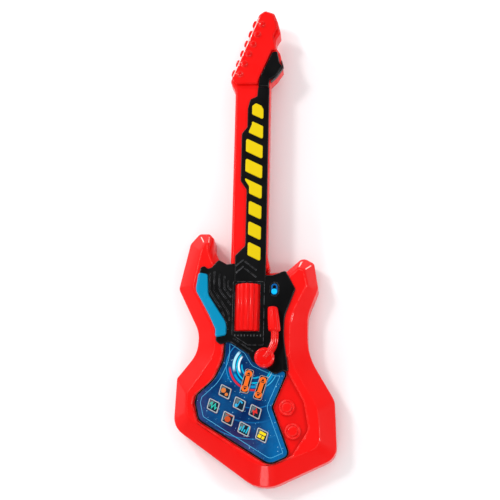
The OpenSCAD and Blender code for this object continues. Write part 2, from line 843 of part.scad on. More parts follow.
module roller_cradle() {
    across = [roller_x - cradle_half, roller_x + cradle_half];
    color("dimgray")
        difference() {
            union() {
                for (y = [cradle_y[0], cradle_y[1] - cradle_t])
                    block(across, [y, y + cradle_t], [cradle_floor, deck_under]);
                block(across, cradle_y, [cradle_floor, cradle_floor + 2]);
                for (s = [-1, 1])
                    block([roller_x + s * 23 - 5, roller_x + s * 23 + 5],
                        [cradle_y[0], cradle_y[0] + cradle_t], [deck_under - 4, deck_under]);
            }
            translate([roller_x, roller_y, roller_z])
                rotate([90, 0, 0])
                    cylinder(r = axle_r + 0.02, h = 80, center = true);
        }
}

module roller_sensor() {
    color("black")
        block([roller_x - 6, roller_x + 6], [-118, -108], [cradle_floor + 2, cradle_floor + 3.8]);
    color(steel)
        block([roller_x - 2, roller_x + 2], [-116, -110],
            [cradle_floor + 3.8 - eps, cradle_floor + 4.3]);
}

// Tremolo arm

module tremolo_arm() {
    color(red)
        difference() {
            union() {
                post(pivot, disc_r, plate_top + 0.4, disc_top);
                translate([pivot.x, pivot.y, disc_top - eps])
                    cylinder(r1 = disc_r, r2 = disc_r - 2, h = 2);
                post(pivot, pivot_shaft_r, deck_under - 3.4, plate_top + 1);
                slab(ribbon(arm_path, arm_w), arm_base, arm_top);
                slab(ribbon(arm_path, arm_ridge_w), arm_base, arm_top + 1.6);
            }
            post(pivot, hole_r, deck_under - 4, plate_top);
        }
}

module tremolo_grip() {
    low = plate_top + 2.4;
    color(red)
        difference() {
            union()
                for (i = [0:1])
                    hull()
                        for (k = [i, i + 1])
                            translate([grip_at[k].x, grip_at[k].y, low + 3.6])
                                rotate([90, 0, 0])
                                    cylinder(r = grip_at[k][2], h = 0.6, $fn = 32);
            block([0, 40], [-140, -80], [low - 10, low]);
            slab(ribbon(arm_path, arm_w), arm_base, arm_top);
            slab(ribbon(arm_path, arm_ridge_w), arm_top - eps, arm_top + 1.6);
        }
}

module tremolo_washer() {
    color(steel)
        difference() {
            post(pivot, 6.6, deck_under - 4.4, deck_under - 3.4);
            post(pivot, hole_r, deck_under - 5, deck_under - 3);
        }
}

module tremolo_screw() {
    color(steel)
        screw(pivot, deck_under - 6.2, 11, 3);
}

// Torsion spring round the pivot boss
module tremolo_spring() {
    rings = 48;
    sides = 6;
    wire_r = 0.4;
    color(steel)
        polyhedron(
            points = [for (k = [0:rings]) for (s = [0:sides - 1])
                let(a = k * spring_turns * 360 / rings, b = s * 360 / sides,
                    r = spring_mean + wire_r * cos(b))
                    [pivot.x + r * cos(a), pivot.y + r * sin(a),
                        deck_under - 3.2 + k * spring_h / rings + wire_r * sin(b)]],
            faces = concat(
                [[for (s = [0:sides - 1]) s]],
                [[for (s = [sides - 1:-1:0]) rings * sides + s]],
                [for (k = [0:rings - 1]) for (s = [0:sides - 1]) let(t = (s + 1) % sides, a = k * sides)
                    each [[a + s, a + sides + s, a + t], [a + t, a + sides + s, a + sides + t]]]));
}

// Slide switch

module switch_dish() {
    color(blue)
        difference() {
            long_slot(switch_at, switch_dish_r - 0.1, switch_travel, plate_top - dish_sink, plate_top - 0.2);
            long_slot(switch_at, switch_slit_r, switch_travel, plate_top - 2, plate_top + 1);
        }
}

module switch_knob() {
    color(sky) {
        post(switch_at, knob_r, plate_top, plate_top + 2.4);
        post(switch_at, 2.2, deck_under - 0.8, plate_top + eps);
    }
}

module switch_body() {
    color(steel)
        difference() {
            block([switch_at.x - 5, switch_at.x + 5], [switch_at.y - 5, switch_at.y + switch_travel + 5],
                [deck_under - 6, deck_under]);
            long_slot(switch_at, switch_slit_r, switch_travel, deck_under - 2, deck_under + 1);
        }
}

// Speaker

module speaker() {
    color("dimgray")
        translate([speaker_at.x, speaker_at.y, wall])
            rotate_extrude($fn = 64)
                polygon([[0, 6], [9, 4], [18, 1.5], [20, 0], [speaker_r, 0], [speaker_r, 3],
                    [21, 4], [14, 11], [12, 11], [12, 16], [0, 16]]);
}

module speaker_clamp() {
    color("black")
        for (a = [30, 150, 270])
            post(speaker_at + (speaker_r + 1) * [cos(a), sin(a)], 3.4, wall + clamp_h, wall + clamp_h + 1.6);
}

// Batteries

module battery_box() {
    color("dimgray")
        difference() {
            block([box_x[0] - 1.5, box_x[1] + 1.5], [box_y[0] - 1.5, box_y[1] + 1.5],
                [wall + 0.1, box_roof]);
            block(box_x, box_y, [wall - 1, box_roof - box_wall]);
        }
}

module battery_cells() {
    for (i = [0:cells - 1])
        translate([cell_x(i), box_mid_y, cell_z])
            rotate([i % 2 == 0 ? 90 : -90, 0, 0]) {
                color("orange")
                    cylinder(r = cell_d / 2, h = cell_l - 2, center = true);
                color(steel)
                    translate([0, 0, cell_l / 2 - 1 - eps])
                        cylinder(r = 2.7, h = 1);
            }
}

module battery_contacts() {
    color(steel)
        for (i = [0:cells - 1])
            for (s = [-1, 1]) {
                end_y = box_mid_y + s * (box_y[1] - box_y[0]) / 2;
                translate([cell_x(i), end_y - s * 0.5, cell_z])
                    cube([11, 0.8, 11], center = true);
                translate([cell_x(i), end_y - s * 0.8, cell_z])
                    rotate([s * 90, 0, 0])
                        cylinder(r1 = 4.5, r2 = 3, h = 3.6);
            }
}

module battery_door() {
    edge = box_wall - gap;
    color(red)
        difference() {
            union() {
                block([box_x[0] - edge, box_x[1] + edge], [box_y[0] - edge, box_y[1] + edge],
                    [0.2, door_t]);
                block([tongue_x + gap, box_x[0]], [tongue_y[0] + gap, tongue_y[1] - gap], [0.2, door_t]);
                for (i = [0:6])
                    block([box_x[0] + 6 + i * 5, box_x[0] + 8 + i * 5], [-206, -199],
                        [door_t - eps, door_t + 0.3]);
            }
            post(door_screw_at, hole_r + 0.1, -1, door_t + 1);
            post(door_screw_at, 3, -1, 1.2);
        }
}

module door_screw() {
    color(steel) {
        post(door_screw_at, 2.7, 0.3, 1.2);
        post(door_screw_at, 1.35, 1.2 - eps, 10);
    }
}

// Screws and leads

module case_screws() {
    color(steel)
        for (at = screw_at)
            screw(at, 6.1, 28, 2.9);
}

module neck_screws() {
    color(steel)
        for (y = neck_screw_y)
            screw([neck_screw_x, y], neck_back + 3.1, 18, 2.9);
}

// Bar through the neck's end wall that ties the neck to the body
module neck_brace() {
    color("dimgray")
        difference() {
            block(brace_x, brace_y, brace_z);
            for (at = concat(foot_screw_at, tongue_screw_at))
                post(at, hole_r, brace_z[0] - 1, brace_z[1] + 1);
        }
}

module brace_screws() {
    color(steel) {
        for (at = foot_screw_at)
            screw(at, 6.1, 17.5, 2.9);
        for (at = tongue_screw_at)
            screw(at, neck_back + 0.05, 7.6, 2.9);
    }
}

module speaker_leads() {
    for (s = [0, 1])
        color(s == 0 ? "red" : "black")
            translate([s * 3, s * 3, 0])
                wire([[51, -222, 8.8], [52, -218, 15], [44, -208, 22], [28, -208, 26],
                    [16, -212, 27.1]], 0.8);
}

module battery_leads() {
    for (s = [0, 1])
        color(s == 0 ? "red" : "black")
            translate([s * 4, 0, 0])
                wire([[-40, -210, 20.9], [-42, -204, 22.5], [-43, -194, 26], [-43, -187, 28.1]], 0.8);
}

body_rear_shell();
body_front_shell();
neck_rear_shell();
neck_front_shell();
fingerboard();
fret_pads();
headstock_cover();
headstock_accent();
face_plate();
light_bar_lens();
light_board();
light_leds();
panel_bezel();
control_panel();
square_key(0);  // key_1
square_key(1);  // key_2
square_key(2);  // key_3
square_key(3);  // key_4
square_key(4);  // key_5
square_key(5);  // key_6
square_key(6);  // key_7
rocker_key(0);  // rocker_left
rocker_key(1);  // rocker_right
key_membrane();
main_board();
board_parts();
board_screws();
strum_roller();
roller_axle();
roller_cradle();
roller_sensor();
tremolo_arm();
tremolo_grip();
tremolo_washer();
tremolo_screw();
tremolo_spring();
switch_dish();
switch_knob();
switch_body();
speaker();
speaker_clamp();
battery_box();
battery_cells();
battery_contacts();
battery_door();
door_screw();
case_screws();
neck_screws();
neck_brace();
brace_screws();
speaker_leads();
battery_leads();
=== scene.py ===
import math

import bmesh
import bpy
from mathutils import Matrix, Vector


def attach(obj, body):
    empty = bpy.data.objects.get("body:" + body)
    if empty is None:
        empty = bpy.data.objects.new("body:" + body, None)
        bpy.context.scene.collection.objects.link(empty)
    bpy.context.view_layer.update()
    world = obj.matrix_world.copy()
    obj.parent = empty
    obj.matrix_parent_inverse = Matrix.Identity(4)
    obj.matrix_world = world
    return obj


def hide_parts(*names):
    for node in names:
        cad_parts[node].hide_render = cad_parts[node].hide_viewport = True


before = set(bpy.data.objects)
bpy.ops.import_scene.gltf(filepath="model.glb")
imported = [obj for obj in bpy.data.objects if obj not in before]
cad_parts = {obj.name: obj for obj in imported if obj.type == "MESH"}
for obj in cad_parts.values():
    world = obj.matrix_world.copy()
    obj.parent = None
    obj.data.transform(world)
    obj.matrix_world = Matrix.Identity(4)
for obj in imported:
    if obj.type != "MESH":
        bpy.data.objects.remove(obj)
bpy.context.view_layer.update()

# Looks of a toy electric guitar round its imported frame. Lengths in this file are millimetres
# until a mesh is made, where they become metres.
MM = 0.001

# ---------------------------------------------------------------- levels above the rest plane
REAR_TOP = 24.0
RIM = 29.0
FACE = 44.0
DECK_UNDER = 40.5
RECESS = 42.8
PANEL_UNDER = 41.6
PANEL_TOP = 43.6
KEY_TOP = 45.4
PLATE_TOP = 46.5
BOARD_UNDER = 43.0
BOARD_TOP = 47.5
NECK_SPLIT = 30.0
NECK_FACE = 45.0
HEAD_FACE = 50.0
PIVOT = (12.0, -159.0)
ROLLER_AT = (-11.2, -94.5, 37.0)
ROLLER_R = 18.0
ROLLER_LEN = 60
SWITCH_AT = (22.3, -74.0)
SWITCH_TRAVEL = 6.5

# ---------------------------------------------------------------- outlines: (x, y, radius)
BODY = [
    (10, -321, 42), (101.5, -277.5, 20), (98.5, -208, 22), (64, -150, 80), (64, -100, 45),
    (77, -66, 10), (71.5, -33, 5), (57, -25, 9), (36, -44, 8), (16.5, -45.5, 3),
    (-33, -45, 2.5), (-38, -37, 4), (-48, -33, 6), (-57, -15, 14), (-58, 0, 5),
    (-64, 6.5, 4), (-77, 6.5, 6), (-88.5, -7, 10), (-101.3, -67, 8), (-73, -124, 40),
    (-75.5, -151, 40), (-99.5, -182, 4), (-101.5, -243, 25)]
RIDGE = [
    (11, -297, 40), (83, -268, 17), (80, -219, 28), (45, -160, 60), (45, -106, 50),
    (65, -65, 8), (60.5, -44, 5), (52, -41, 5), (34, -58, 6), (12, -60, 4),
    (-28, -60, 4), (-36, -56, 4), (-46, -50, 6), (-57, -33, 12), (-62, -20, 8),
    (-62.5, -9, 3.4), (-69.5, -9, 3.4), (-74.5, -20, 10), (-84, -68, 14), (-56, -119, 30),
    (-52.5, -152, 40), (-86, -202, 8), (-85, -233, 14)]
NECK = [
    (16.5, -45, 4.5), (12, -24, 30), (12, 211, 4), (20, 219, 6), (28.5, 232, 4),
    (24.5, 252, 6), (18, 262, 6), (19, 273, 5), (24.5, 282, 5), (20.5, 298, 5),
    (15.5, 311, 5), (3, 315.5, 5), (-5, 310, 5), (-41, 213, 5), (-34, 198, 10),
    (-34, -45, 4.5)]
HEAD = [
    (-5, 207, 2), (-3, 216, 6), (13, 255, 3), (18.5, 256, 3), (14.5, 275, 6), (19.5, 287, 4),
    (16.5, 299, 4), (13, 308, 4), (3, 311.5, 4), (-3.5, 306.5, 4), (-39, 214.5, 4),
    (-32, 207, 3)]
ACCENT = [
    (-4, 203.5, 1.5), (10.5, 203.5, 1.5), (10.5, 213, 3), (20, 219.5, 6), (28, 232, 3),
    (24, 237, 2), (20.5, 254, 2), (13.6, 253, 3), (-2.4, 215.6, 6)]
BOARD = [
    (11, -61.5, 1.2), (11, 203, 1.2), (-4, 203, 1.2), (-5, 190, 3), (-14, 186, 5),
    (-17, 173, 8), (-17, 147, 3), (-24, 138, 5), (-24, 73, 4), (-16, 61, 4),
    (-16, -14, 4), (-28.5, -27, 4), (-28.5, -61.5, 1.2)]
PLATE = [
    (41.5, -175, 2.5), (35, -132, 120), (35.5, -106, 50), (49, -70, 5), (36, -46, 3),
    (20, -52, 6), (11.5, -52, 1.5), (-30, -37, 2), (-39, -38, 3), (-49.5, -32, 3),
    (-58, -42, 3), (-63, -44, 3), (-67, -40.5, 3), (-72.5, -41.5, 4), (-76.6, -72, 13),
    (-59.2, -103.5, 60), (-49.5, -123.5, 15), (-50.5, -137, 5), (-44, -141.5, 3),
    (-33, -138, 4), (-9, -152.5, 6), (-4, -162.5, 6), (15, -172.5, 10), (25, -178.5, 5),
    (35, -174, 5)]
BAR = [
    (-51.5, -133, 3.2), (-37, -130, 3.2), (-36.5, -115, 18), (-61, -78, 16),
    (-62.5, -51.5, 3.2), (-74.5, -49, 3.2), (-77.6, -72, 13), (-60, -103, 60),
    (-50.5, -123, 15)]
PANEL = [
    (20, -288, 14), (43.5, -277, 7), (21.5, -219, 7), (41, -171.5, 5), (26, -174.5, 5),
    (0, -163, 5), (-9, -148, 6), (-30, -134, 5), (-38, -134, 4.5), (-38.5, -160, 40),
    (-50, -185, 40), (-70.5, -204, 6), (-73, -214, 10), (-68, -235, 10)]
STEP = [
    (18, -291.5, 20), (48, -278, 9), (68, -246, 16), (62, -212, 24), (42, -176, 8),
    (41, -156, 3), (-40, -130, 3), (-43.5, -160, 40), (-54, -187, 40), (-76, -205, 7),
    (-78, -216, 10), (-71, -238.5, 12)]
CENTRE_BLOCK = [
    (-29.5, -61.7, 1.0), (-29.5, -129, 1.0), (-9.5, -142, 1.0), (9.5, -142, 1.0),
    (9.5, -61.7, 1.0)]
PAD_BORDER = [
    (4, -40), (4, 171), (-1, 180), (-6, 180), (-11, 176), (-11, 150), (-18, 132), (-18, 73.5),
    (-12.6, 65), (-12.6, -27), (-3, -40)]
PAD_PITCH = 27.4
KEY_AT = [
    (-36.6, -200.5), (-50.6, -217.9), (-18.5, -215.4), (1.2, -224.7), (-32.1, -233.5),
    (-11.9, -246), (10, -253.3)]
# Centres of the tall keys, with their lean in degrees
ROCKER_AT = [(-9.8, -187, -14), (7.4, -195, -17)]
KNOB_AT = [(40, -219), (47.5, -248)]
ARM_PATH = [PIVOT, (20, -149), (23.6, -140), (24.4, -131), (23.6, -120)]
RIB_LINES = [
    [(-60, -50), (-60, -72), (-55, -81), (-44, -96), (-34.5, -123)],
    [(-54, -48), (-54, -72), (-48, -81), (-35, -101), (-33.5, -111)],
    [(-47.5, -50), (-47.5, -70), (-44, -76), (-32.5, -91)],
    [(-41, -54), (-41, -70), (-32.5, -81)],
    [(-36, -60), (-36, -68), (-32.5, -72)]]
# Ways along a square key's lower edge and down its side
KEY_SIDE = Vector((0.94, -0.47))
KEY_EDGE = Vector((-0.24, -0.95))
KEY_SIZE = 14.0
ROCKER_SIZE = (10.5, 30.0)
CORNER_STEPS = 8
# Corners of BODY and RIDGE at the tips of the horns, which catch the light
HORN_CORNERS = (6, 7, 15, 16)
TUNERS = 6
# Way that the pegs stick out of the headstock's straight side
PEG_WAY = (-0.9304, 0.3665, 0)
FRET_PADS = 8
ICON_SCALE = 1.22
# Openings round the roller, as their two x and two y values
ROLLER_WINDOW = ((-30.7, 8.3), (-131, -58))
PLATE_SLOT = ((-28.3, 5.9), (-125.3, -63.7))
BLOCK_HOLE = ((-27.2, 4.8), (-125.2, -63.8))


# ---------------------------------------------------------------- outline helpers
def corner_points(a, b, c, steps):
    """Arc that rounds corner b, (x, y, radius), between its neighbours a and c."""
    at = Vector(b[:2])
    u = (Vector(a[:2]) - at).normalized()
    v = (Vector(c[:2]) - at).normalized()
    half = math.acos(max(-1, min(1, u.dot(v)))) / 2
    middle = at + (u + v).normalized() * b[2] / math.sin(half)
    first = at + u * b[2] / math.tan(half) - middle
    last = at + v * b[2] / math.tan(half) - middle
    turn = math.pi - 2 * half
    if first.x * last.y - first.y * last.x < 0:
        turn = -turn
    start = math.atan2(first.y, first.x)
    angles = [start + turn * k / steps for k in range(steps + 1)]
    return [middle + b[2] * Vector((math.cos(angle), math.sin(angle))) for angle in angles]


def rounded(corners, steps=CORNER_STEPS):
    """Closed outline with every corner rounded."""
    n = len(corners)
    return [p for i in range(n)
            for p in corner_points(corners[i - 1], corners[i], corners[(i + 1) % n], steps)]


def inset(points, d, lean=0.0):
    """Counter-clockwise outline moved inwards by d, and by up to lean more on its left side."""
    n = len(points)
    out = []
    for i, p in enumerate(points):
        before = (p - points[i - 1]).normalized()
        after = (points[(i + 1) % n] - p).normalized()
        inward = Vector((-before.y - after.y, before.x + after.x))
        reach = d + lean * max(0.0, inward.normalized().x) ** 2
        out.append(p + inward * 2 * reach / max(inward.length_squared, 0.2))
    return out


def shrunk(corners, d, least=1.2):
    """Corner list moved inwards by d, for insets larger than a corner's radius."""
    points = [Vector(c[:2]) for c in corners]
    out = []
    for i, (p, c) in enumerate(zip(inset(points, d), corners)):
        a, b = points[i] - points[i - 1], points[(i + 1) % len(points)] - points[i]
        r = c[2] - d if a.x * b.y - a.y * b.x > 0 else c[2] + d
        out.append((p.x, p.y, max(least, r)))
    return out


def ribbon(line, width):
    """Outline of a strip along a polyline."""
    sides = []
    for i, p in enumerate(line):
        p = Vector(p)
        before = (Vector(line[max(i, 1)]) - Vector(line[max(i, 1) - 1])).normalized()
        k = min(i, len(line) - 2)
        after = (Vector(line[k + 1]) - Vector(line[k])).normalized()
        across = Vector((-before.y - after.y, before.x + after.x))
        sides.append((p, across * width / across.length_squared))
    return [p - s for p, s in sides] + [p + s for p, s in reversed(sides)]


def circle(at, r, count=40):
    """Round outline, counter-clockwise."""
    return [Vector((at[0] + r * math.cos(a), at[1] + r * math.sin(a)))
            for a in (2 * math.pi * k / count for k in range(count))]


def stadium(at, r, length, count=16):
    """Slot with round ends along Y, counter-clockwise."""
    x, y = at
    top = [Vector((x + r * math.cos(a), y + length + r * math.sin(a)))
           for a in (math.pi * k / count for k in range(count + 1))]
    low = [Vector((x - r * math.cos(a), y - r * math.sin(a)))
           for a in (math.pi * k / count for k in range(count + 1))]
    return top + low


def rectangle(x, y, r=0.6):
    """Rectangle between two x and two y values, with corners of radius r."""
    return rounded([(x[0], y[0], r), (x[1], y[0], r), (x[1], y[1], r), (x[0], y[1], r)], 4)


def turned(points, at, angle):
    """Outline turned by angle degrees and then moved to at."""
    c, s = math.cos(math.radians(angle)), math.sin(math.radians(angle))
    return [Vector((at[0] + c * p.x - s * p.y, at[1] + s * p.x + c * p.y)) for p in points]


def clipped(points, a, b):
    """The part of a polygon that lies to the left of the line from a to b."""
    out = []
    a, b = Vector(a), Vector(b)
    along = b - a

    def side(p):
        """Positive to the left of the line."""
        return along.x * (p.y - a.y) - along.y * (p.x - a.x)

    for i, p in enumerate(points):
        q = points[i - 1]
        sp, sq = side(p), side(q)
        if (sp > 0) != (sq > 0):
            out.append(q + (p - q) * sq / (sq - sp))
        if sp > 0:
            out.append(p)
    return out


def eased(points, r):
    """A polygon with its corners rounded as far as its sides allow."""
    tidy = [p for i, p in enumerate(points) if (p - points[i - 1]).length > 0.4]
    n = len(tidy)
    corners = []
    for i, p in enumerate(tidy):
        u = tidy[i - 1] - p
        v = tidy[(i + 1) % n] - p
        half = math.acos(max(-0.9999, min(0.9999, u.normalized().dot(v.normalized())))) / 2
        room = 0.45 * min(u.length, v.length) * math.tan(half)
        corners.append((p.x, p.y, max(0.05, min(r, room))))
    return rounded(corners, 5)


def level(points, z):
    """An outline lifted to height z, as one ring of a loft."""
    return [Vector((p.x, p.y, z)) for p in points]


def toward(p, q, d):
    """Point at distance d from p on the way to q, but never past the middle."""
    way = q - p
    return p + way * min(0.46, d / max(way.length, 1e-6))


def soften(levels, cuts, steps=4):
    """Rings of a loft with an edge rounded by cuts[k] at level k, or sharp where it is 0."""
    out = [levels[0]]
    for k in range(1, len(levels) - 1):
        if not cuts[k]:
            out.append(levels[k])
            continue
        for s in range(steps + 1):
            t = s / steps
            out.append([
                toward(p, levels[k - 1][i], cuts[k]) * (1 - t) ** 2 + p * 2 * t * (1 - t)
                + toward(p, levels[k + 1][i], cuts[k]) * t ** 2
                for i, p in enumerate(levels[k])])
    return out + [levels[-1]]


def prism(outline, low, high):
    """Two rings of a straight block."""
    return [level(outline, low), level(outline, high)]


def chamfered(outline, low, high, drop, run, flat, cuts, steps=4, lean=0.0):
    """Rings of a block whose rim slopes down by drop over run, with its last ring at flat."""
    return soften([
        level(outline, low), level(outline, high - drop),
        level(inset(outline, run, lean), high), level(inset(outline, flat, lean), high)],
        [0, *cuts, 0], steps)


# ---------------------------------------------------------------- mesh helper
class Form:
    """A mesh under construction, in millimetres."""

    def __init__(self):
        self.bm = bmesh.new()
        self.slot = 0

    def ring(self, points):
        """New vertices at points."""
        return [self.bm.verts.new(p) for p in points]

    def face(self, verts):
        """Face through verts in the current material slot. One that is there already stays."""
        try:
            made = self.bm.faces.new(verts)
            made.material_index = self.slot
        except ValueError:
            pass

    def bridge(self, low, high, flip=False):
        """Closed band of faces between two rings with as many vertices each."""
        n = len(low)
        for i in range(n):
            j = (i + 1) % n
            quad = [low[i], low[j], high[j], high[i]]
            self.face(quad[::-1] if flip else quad)

    def walls(self, levels, flip=False):
        """Side faces through rings from low to high. Returns the first and last ring."""
        rings = [self.ring(points) for points in levels]
        for low, high in zip(rings, rings[1:]):
            self.bridge(low, high, flip)
        return rings[0], rings[-1]

    def cap(self, rings, up=True):
        """Flat face inside the first ring and outside the others."""
        edges = []
        for ring in rings:
            for i, v in enumerate(ring):
                edge = self.bm.edges.get((v, ring[i - 1])) or self.bm.edges.new((v, ring[i - 1]))
                edges.append(edge)
        filled = bmesh.ops.triangle_fill(self.bm, edges=edges, use_beauty=True)
        for f in filled["geom"]:
            if isinstance(f, bmesh.types.BMFace):
                f.normal_update()
                f.material_index = self.slot
                if (f.normal.z > 0) != up:
                    f.normal_flip()

    def solid(self, levels):
        """Closed loft through rings from low to high."""
        first, last = self.walls(levels)
        self.cap([last])
        self.cap([first], up=False)

    def bar(self, levels):
        """Loft through rings, closed by one face at each end."""
        first, last = self.walls(levels)
        self.face(first[::-1])
        self.face(last)

    def painted_glint_crease(self, outline, ridge, i):
        """Pale sliver, a painted highlight for the glint on the corner of a horn's slope."""
        def on_slope(k, t, lift):
            """Point k of the slope, at share t of the way up, lifted off it."""
            p = outline[k].lerp(ridge[k], t)
            return Vector((p.x, p.y, RIM + (FACE - 1.4 - RIM) * t + lift))
        ring = ((i - 1, 0.3), (i + 1, 0.3), (i + 1, 0.86), (i, 0.92), (i - 1, 0.86))
        self.bar([[on_slope(k, t, lift) for k, t in ring] for lift in (-0.3, 0.06)])

    def lathe(self, at, profile, count=48, axis=None):
        """Solid of revolution from (radius, height) points. A radius of 0 closes an end."""
        turn = Matrix.Identity(3)
        if axis is not None:
            turn = Vector((0, 0, 1)).rotation_difference(Vector(axis)).to_matrix()
        at = Vector(at)
        rings = []
        for r, h in profile:
            if r <= 0:
                rings.append([self.bm.verts.new(at + turn @ Vector((0, 0, h)))])
            else:
                rings.append(self.ring([
                    at + turn @ Vector((p.x, p.y, h)) for p in circle((0, 0), r, count)]))
        for low, high in zip(rings, rings[1:]):
            for i in range(count):
                j = (i + 1) % count
                if len(low) == 1:
                    self.face([low[0], high[j], high[i]])
                elif len(high) == 1:
                    self.face([low[i], low[j], high[0]])
                else:
                    self.face([low[i], low[j], high[j], high[i]])

    def make(self, name, body, materials, replaces=(), sharp=38):
        """Turn the form into a piece that rides on body and replaces the named frame nodes."""
        mesh = bpy.data.meshes.new(name)
        bmesh.ops.remove_doubles(self.bm, verts=self.bm.verts, dist=1e-4)
        bmesh.ops.recalc_face_normals(self.bm, faces=self.bm.faces)
        bmesh.ops.scale(self.bm, vec=(MM, MM, MM), verts=self.bm.verts)
        self.bm.to_mesh(mesh)
        self.bm.free()
        mesh.shade_smooth()
        mesh.set_sharp_from_angle(angle=math.radians(sharp))
        for material in materials:
            mesh.materials.append(material)
        piece = bpy.data.objects.new(name, mesh)
        bpy.context.scene.collection.objects.link(piece)
        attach(piece, body)
        if replaces:
            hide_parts(*replaces)
        return piece


def fillet(r0, z0, r1, z1, steps=5):
    """Quarter round from (r0, z0), rising straight up, to (r1, z1), running inwards."""
    return [(r1 + (r0 - r1) * math.cos(a), z0 + (z1 - z0) * math.sin(a))
            for a in (math.pi / 2 * k / steps for k in range(steps + 1))]


# ---------------------------------------------------------------- materials
def linear(r, g, b):
    """Linear colour of an sRGB colour that is given as 0 to 255."""
    def one(c):
        c /= 255
        return c / 12.92 if c <= 0.04045 else ((c + 0.055) / 1.055) ** 2.4
    return one(r), one(g), one(b), 1.0


def wire(tree, value, socket):
    """Link another socket's output, or set a plain value."""
    if isinstance(value, bpy.types.NodeSocket):
        tree.links.new(value, socket)
    else:
        socket.default_value = value


def add_node(tree, kind, inputs=None, **props):
    """New node with its properties set, and its inputs linked or set."""
    made = tree.nodes.new(kind)
    for key, value in props.items():
        setattr(made, key, value)
    for key, value in (inputs or {}).items():
        wire(tree, value, made.inputs[key])
    return made


class Paint:
    """A material's node tree, with short calls for the nodes that it needs."""

    def __init__(self, name):
        self.material = bpy.data.materials.new(name)
        self.material.use_nodes = True
        self.tree = self.material.node_tree
        self.shader = self.tree.nodes["Principled BSDF"]
        self.place = self.node("ShaderNodeTexCoord").outputs["Object"]

    def node(self, kind, inputs=None, **props):
        """A node of this material."""
        return add_node(self.tree, kind, inputs, **props)

    def math(self, operation, a, b=0.0, clamp=False):
        """Result of one Math node."""
        made = self.node("ShaderNodeMath", {0: a, 1: b}, operation=operation, use_clamp=clamp)
        return made.outputs[0]

    def scaled(self, x, y, z):
        """Object coordinates stretched along the axes."""
        inputs = {"Vector": self.place, "Scale": (x, y, z)}
        return self.node("ShaderNodeMapping", inputs).outputs["Vector"]

    def noise(self, scale, detail=4.0, rough=0.55, vector=None):
        """Noise in object space, scale in cells to the metre."""
        return self.node("ShaderNodeTexNoise", {
            "Vector": vector or self.place, "Scale": scale, "Detail": detail,
            "Roughness": rough}).outputs["Fac"]

    def remap(self, value, low, high, new_low=0.0, new_high=1.0):
        """Smooth step of value from low..high to new_low..new_high."""
        return self.node("ShaderNodeMapRange", {
            "Value": value, "From Min": low, "From Max": high, "To Min": new_low,
            "To Max": new_high}, interpolation_type="SMOOTHSTEP").outputs["Result"]

    def mix(self, share, a, b):
        """Colour a with a share of colour b."""
        inputs = {"Factor": share, "A": a, "B": b}
        return self.node("ShaderNodeMix", inputs, data_type="RGBA").outputs["Result"]

    def edge(self, radius, keen):
        """1 on edges narrower than radius, 0 on flats. A smaller keen finds softer edges."""
        smooth = self.node("ShaderNodeBevel", {"Radius": radius}, samples=4).outputs["Normal"]
        plain = self.node("ShaderNodeNewGeometry").outputs["Normal"]
        facing = self.node("ShaderNodeVectorMath", {0: smooth, 1: plain}, operation="DOT_PRODUCT")
        return self.remap(facing.outputs["Value"], 1.0 - 0.08 * keen, 1.0 - keen)

    def bump(self, height, strength, distance=0.0004, normal=None):
        """Normal bent by a height, on top of an earlier one if it is given."""
        inputs = {"Strength": strength, "Distance": distance, "Height": height}
        if normal is not None:
            inputs["Normal"] = normal
        return self.node("ShaderNodeBump", inputs).outputs["Normal"]

    def set(self, **sockets):
        """Set or link the shader's sockets by name, with _ for a space."""
        for name, value in sockets.items():
            wire(self.tree, value, self.shader.inputs[name.replace("_", " ")])
        return self.material


def tint(colour, k):
    """Colour made k times as bright."""
    return tuple(min(1.0, c * k) for c in colour[:3]) + (1.0,)


def moulded(name, colour, rough=0.34, specular=0.12, coat=0.28, wear_and_highlight=0.35, wear_and_highlight_colour=None,
            grain=1.0, colour_socket=None, edge=(0.0006, 0.1)):
    """Plastic with colour drift, streaks, skin, scratches, and pale edges that are partly wear and
    partly painted highlight. Colours: 0 to 255.
    """
    p = Paint(name)
    colour = linear(*colour)
    drift = p.remap(p.noise(9, 2), 0.3, 0.7)
    streak = p.remap(p.noise(60, 5, 0.6, p.scaled(1.0, 0.18, 1.0)), 0.35, 0.7)
    base = p.mix(drift, tint(colour, 0.965), tint(colour, 1.02))
    base = p.mix(p.math("MULTIPLY", streak, 0.08), base, tint(colour, 0.86))
    if colour_socket:
        base = colour_socket(p, base)
    # Pale edges: rubbed wear in noisy patches, which also serves as painted highlight along ridges
    # and rib edges.
    rub = p.remap(p.noise(220, 6, 0.65), 0.38, 0.58)
    wear_and_highlight_mask = p.math("MULTIPLY", p.edge(*edge), rub, clamp=True)
    pale = linear(*wear_and_highlight_colour) if wear_and_highlight_colour else tuple(0.55 * c + 0.45 * 0.75 for c in colour[:3]) + (1.0,)
    base = p.mix(p.math("MULTIPLY", wear_and_highlight_mask, wear_and_highlight), base, pale)
    scratch = p.remap(p.noise(340, 2, 0.4, p.scaled(1.0, 0.05, 1.0)), 0.66, 0.72)
    scuff = p.math("MULTIPLY", scratch, p.remap(p.noise(11, 2), 0.5, 0.65))
    skin = p.noise(2600, 3, 0.6)
    ripple = p.noise(95, 2, 0.4)
    roughness = p.math("ADD", p.remap(p.noise(38, 4), 0.3, 0.7, rough - 0.04, rough + 0.05),
                       p.math("MULTIPLY", scuff, 0.18), clamp=True)
    normal = p.bump(ripple, 0.035 * grain, 0.0004)
    normal = p.bump(skin, 0.08 * grain, 0.00004, normal)
    normal = p.bump(scuff, 0.12 * grain, 0.00005, normal)
    p.set(Base_Color=base, Roughness=roughness, Normal=normal, Specular_IOR_Level=specular,
          Coat_Weight=coat, Coat_Roughness=0.07)
    return p.material


def metal(name, colour, rough=0.3):
    """Brushed metal."""
    p = Paint(name)
    brushed = p.noise(420, 4, 0.6, p.scaled(1.0, 1.0, 0.06))
    base = p.mix(p.remap(brushed, 0.3, 0.7), tint(colour, 0.82), colour)
    p.set(Base_Color=base, Roughness=p.remap(brushed, 0.3, 0.7, rough - 0.06, rough + 0.14),
          Normal=p.bump(brushed, 0.15, 0.00005), Metallic=1.0)
    return p.material


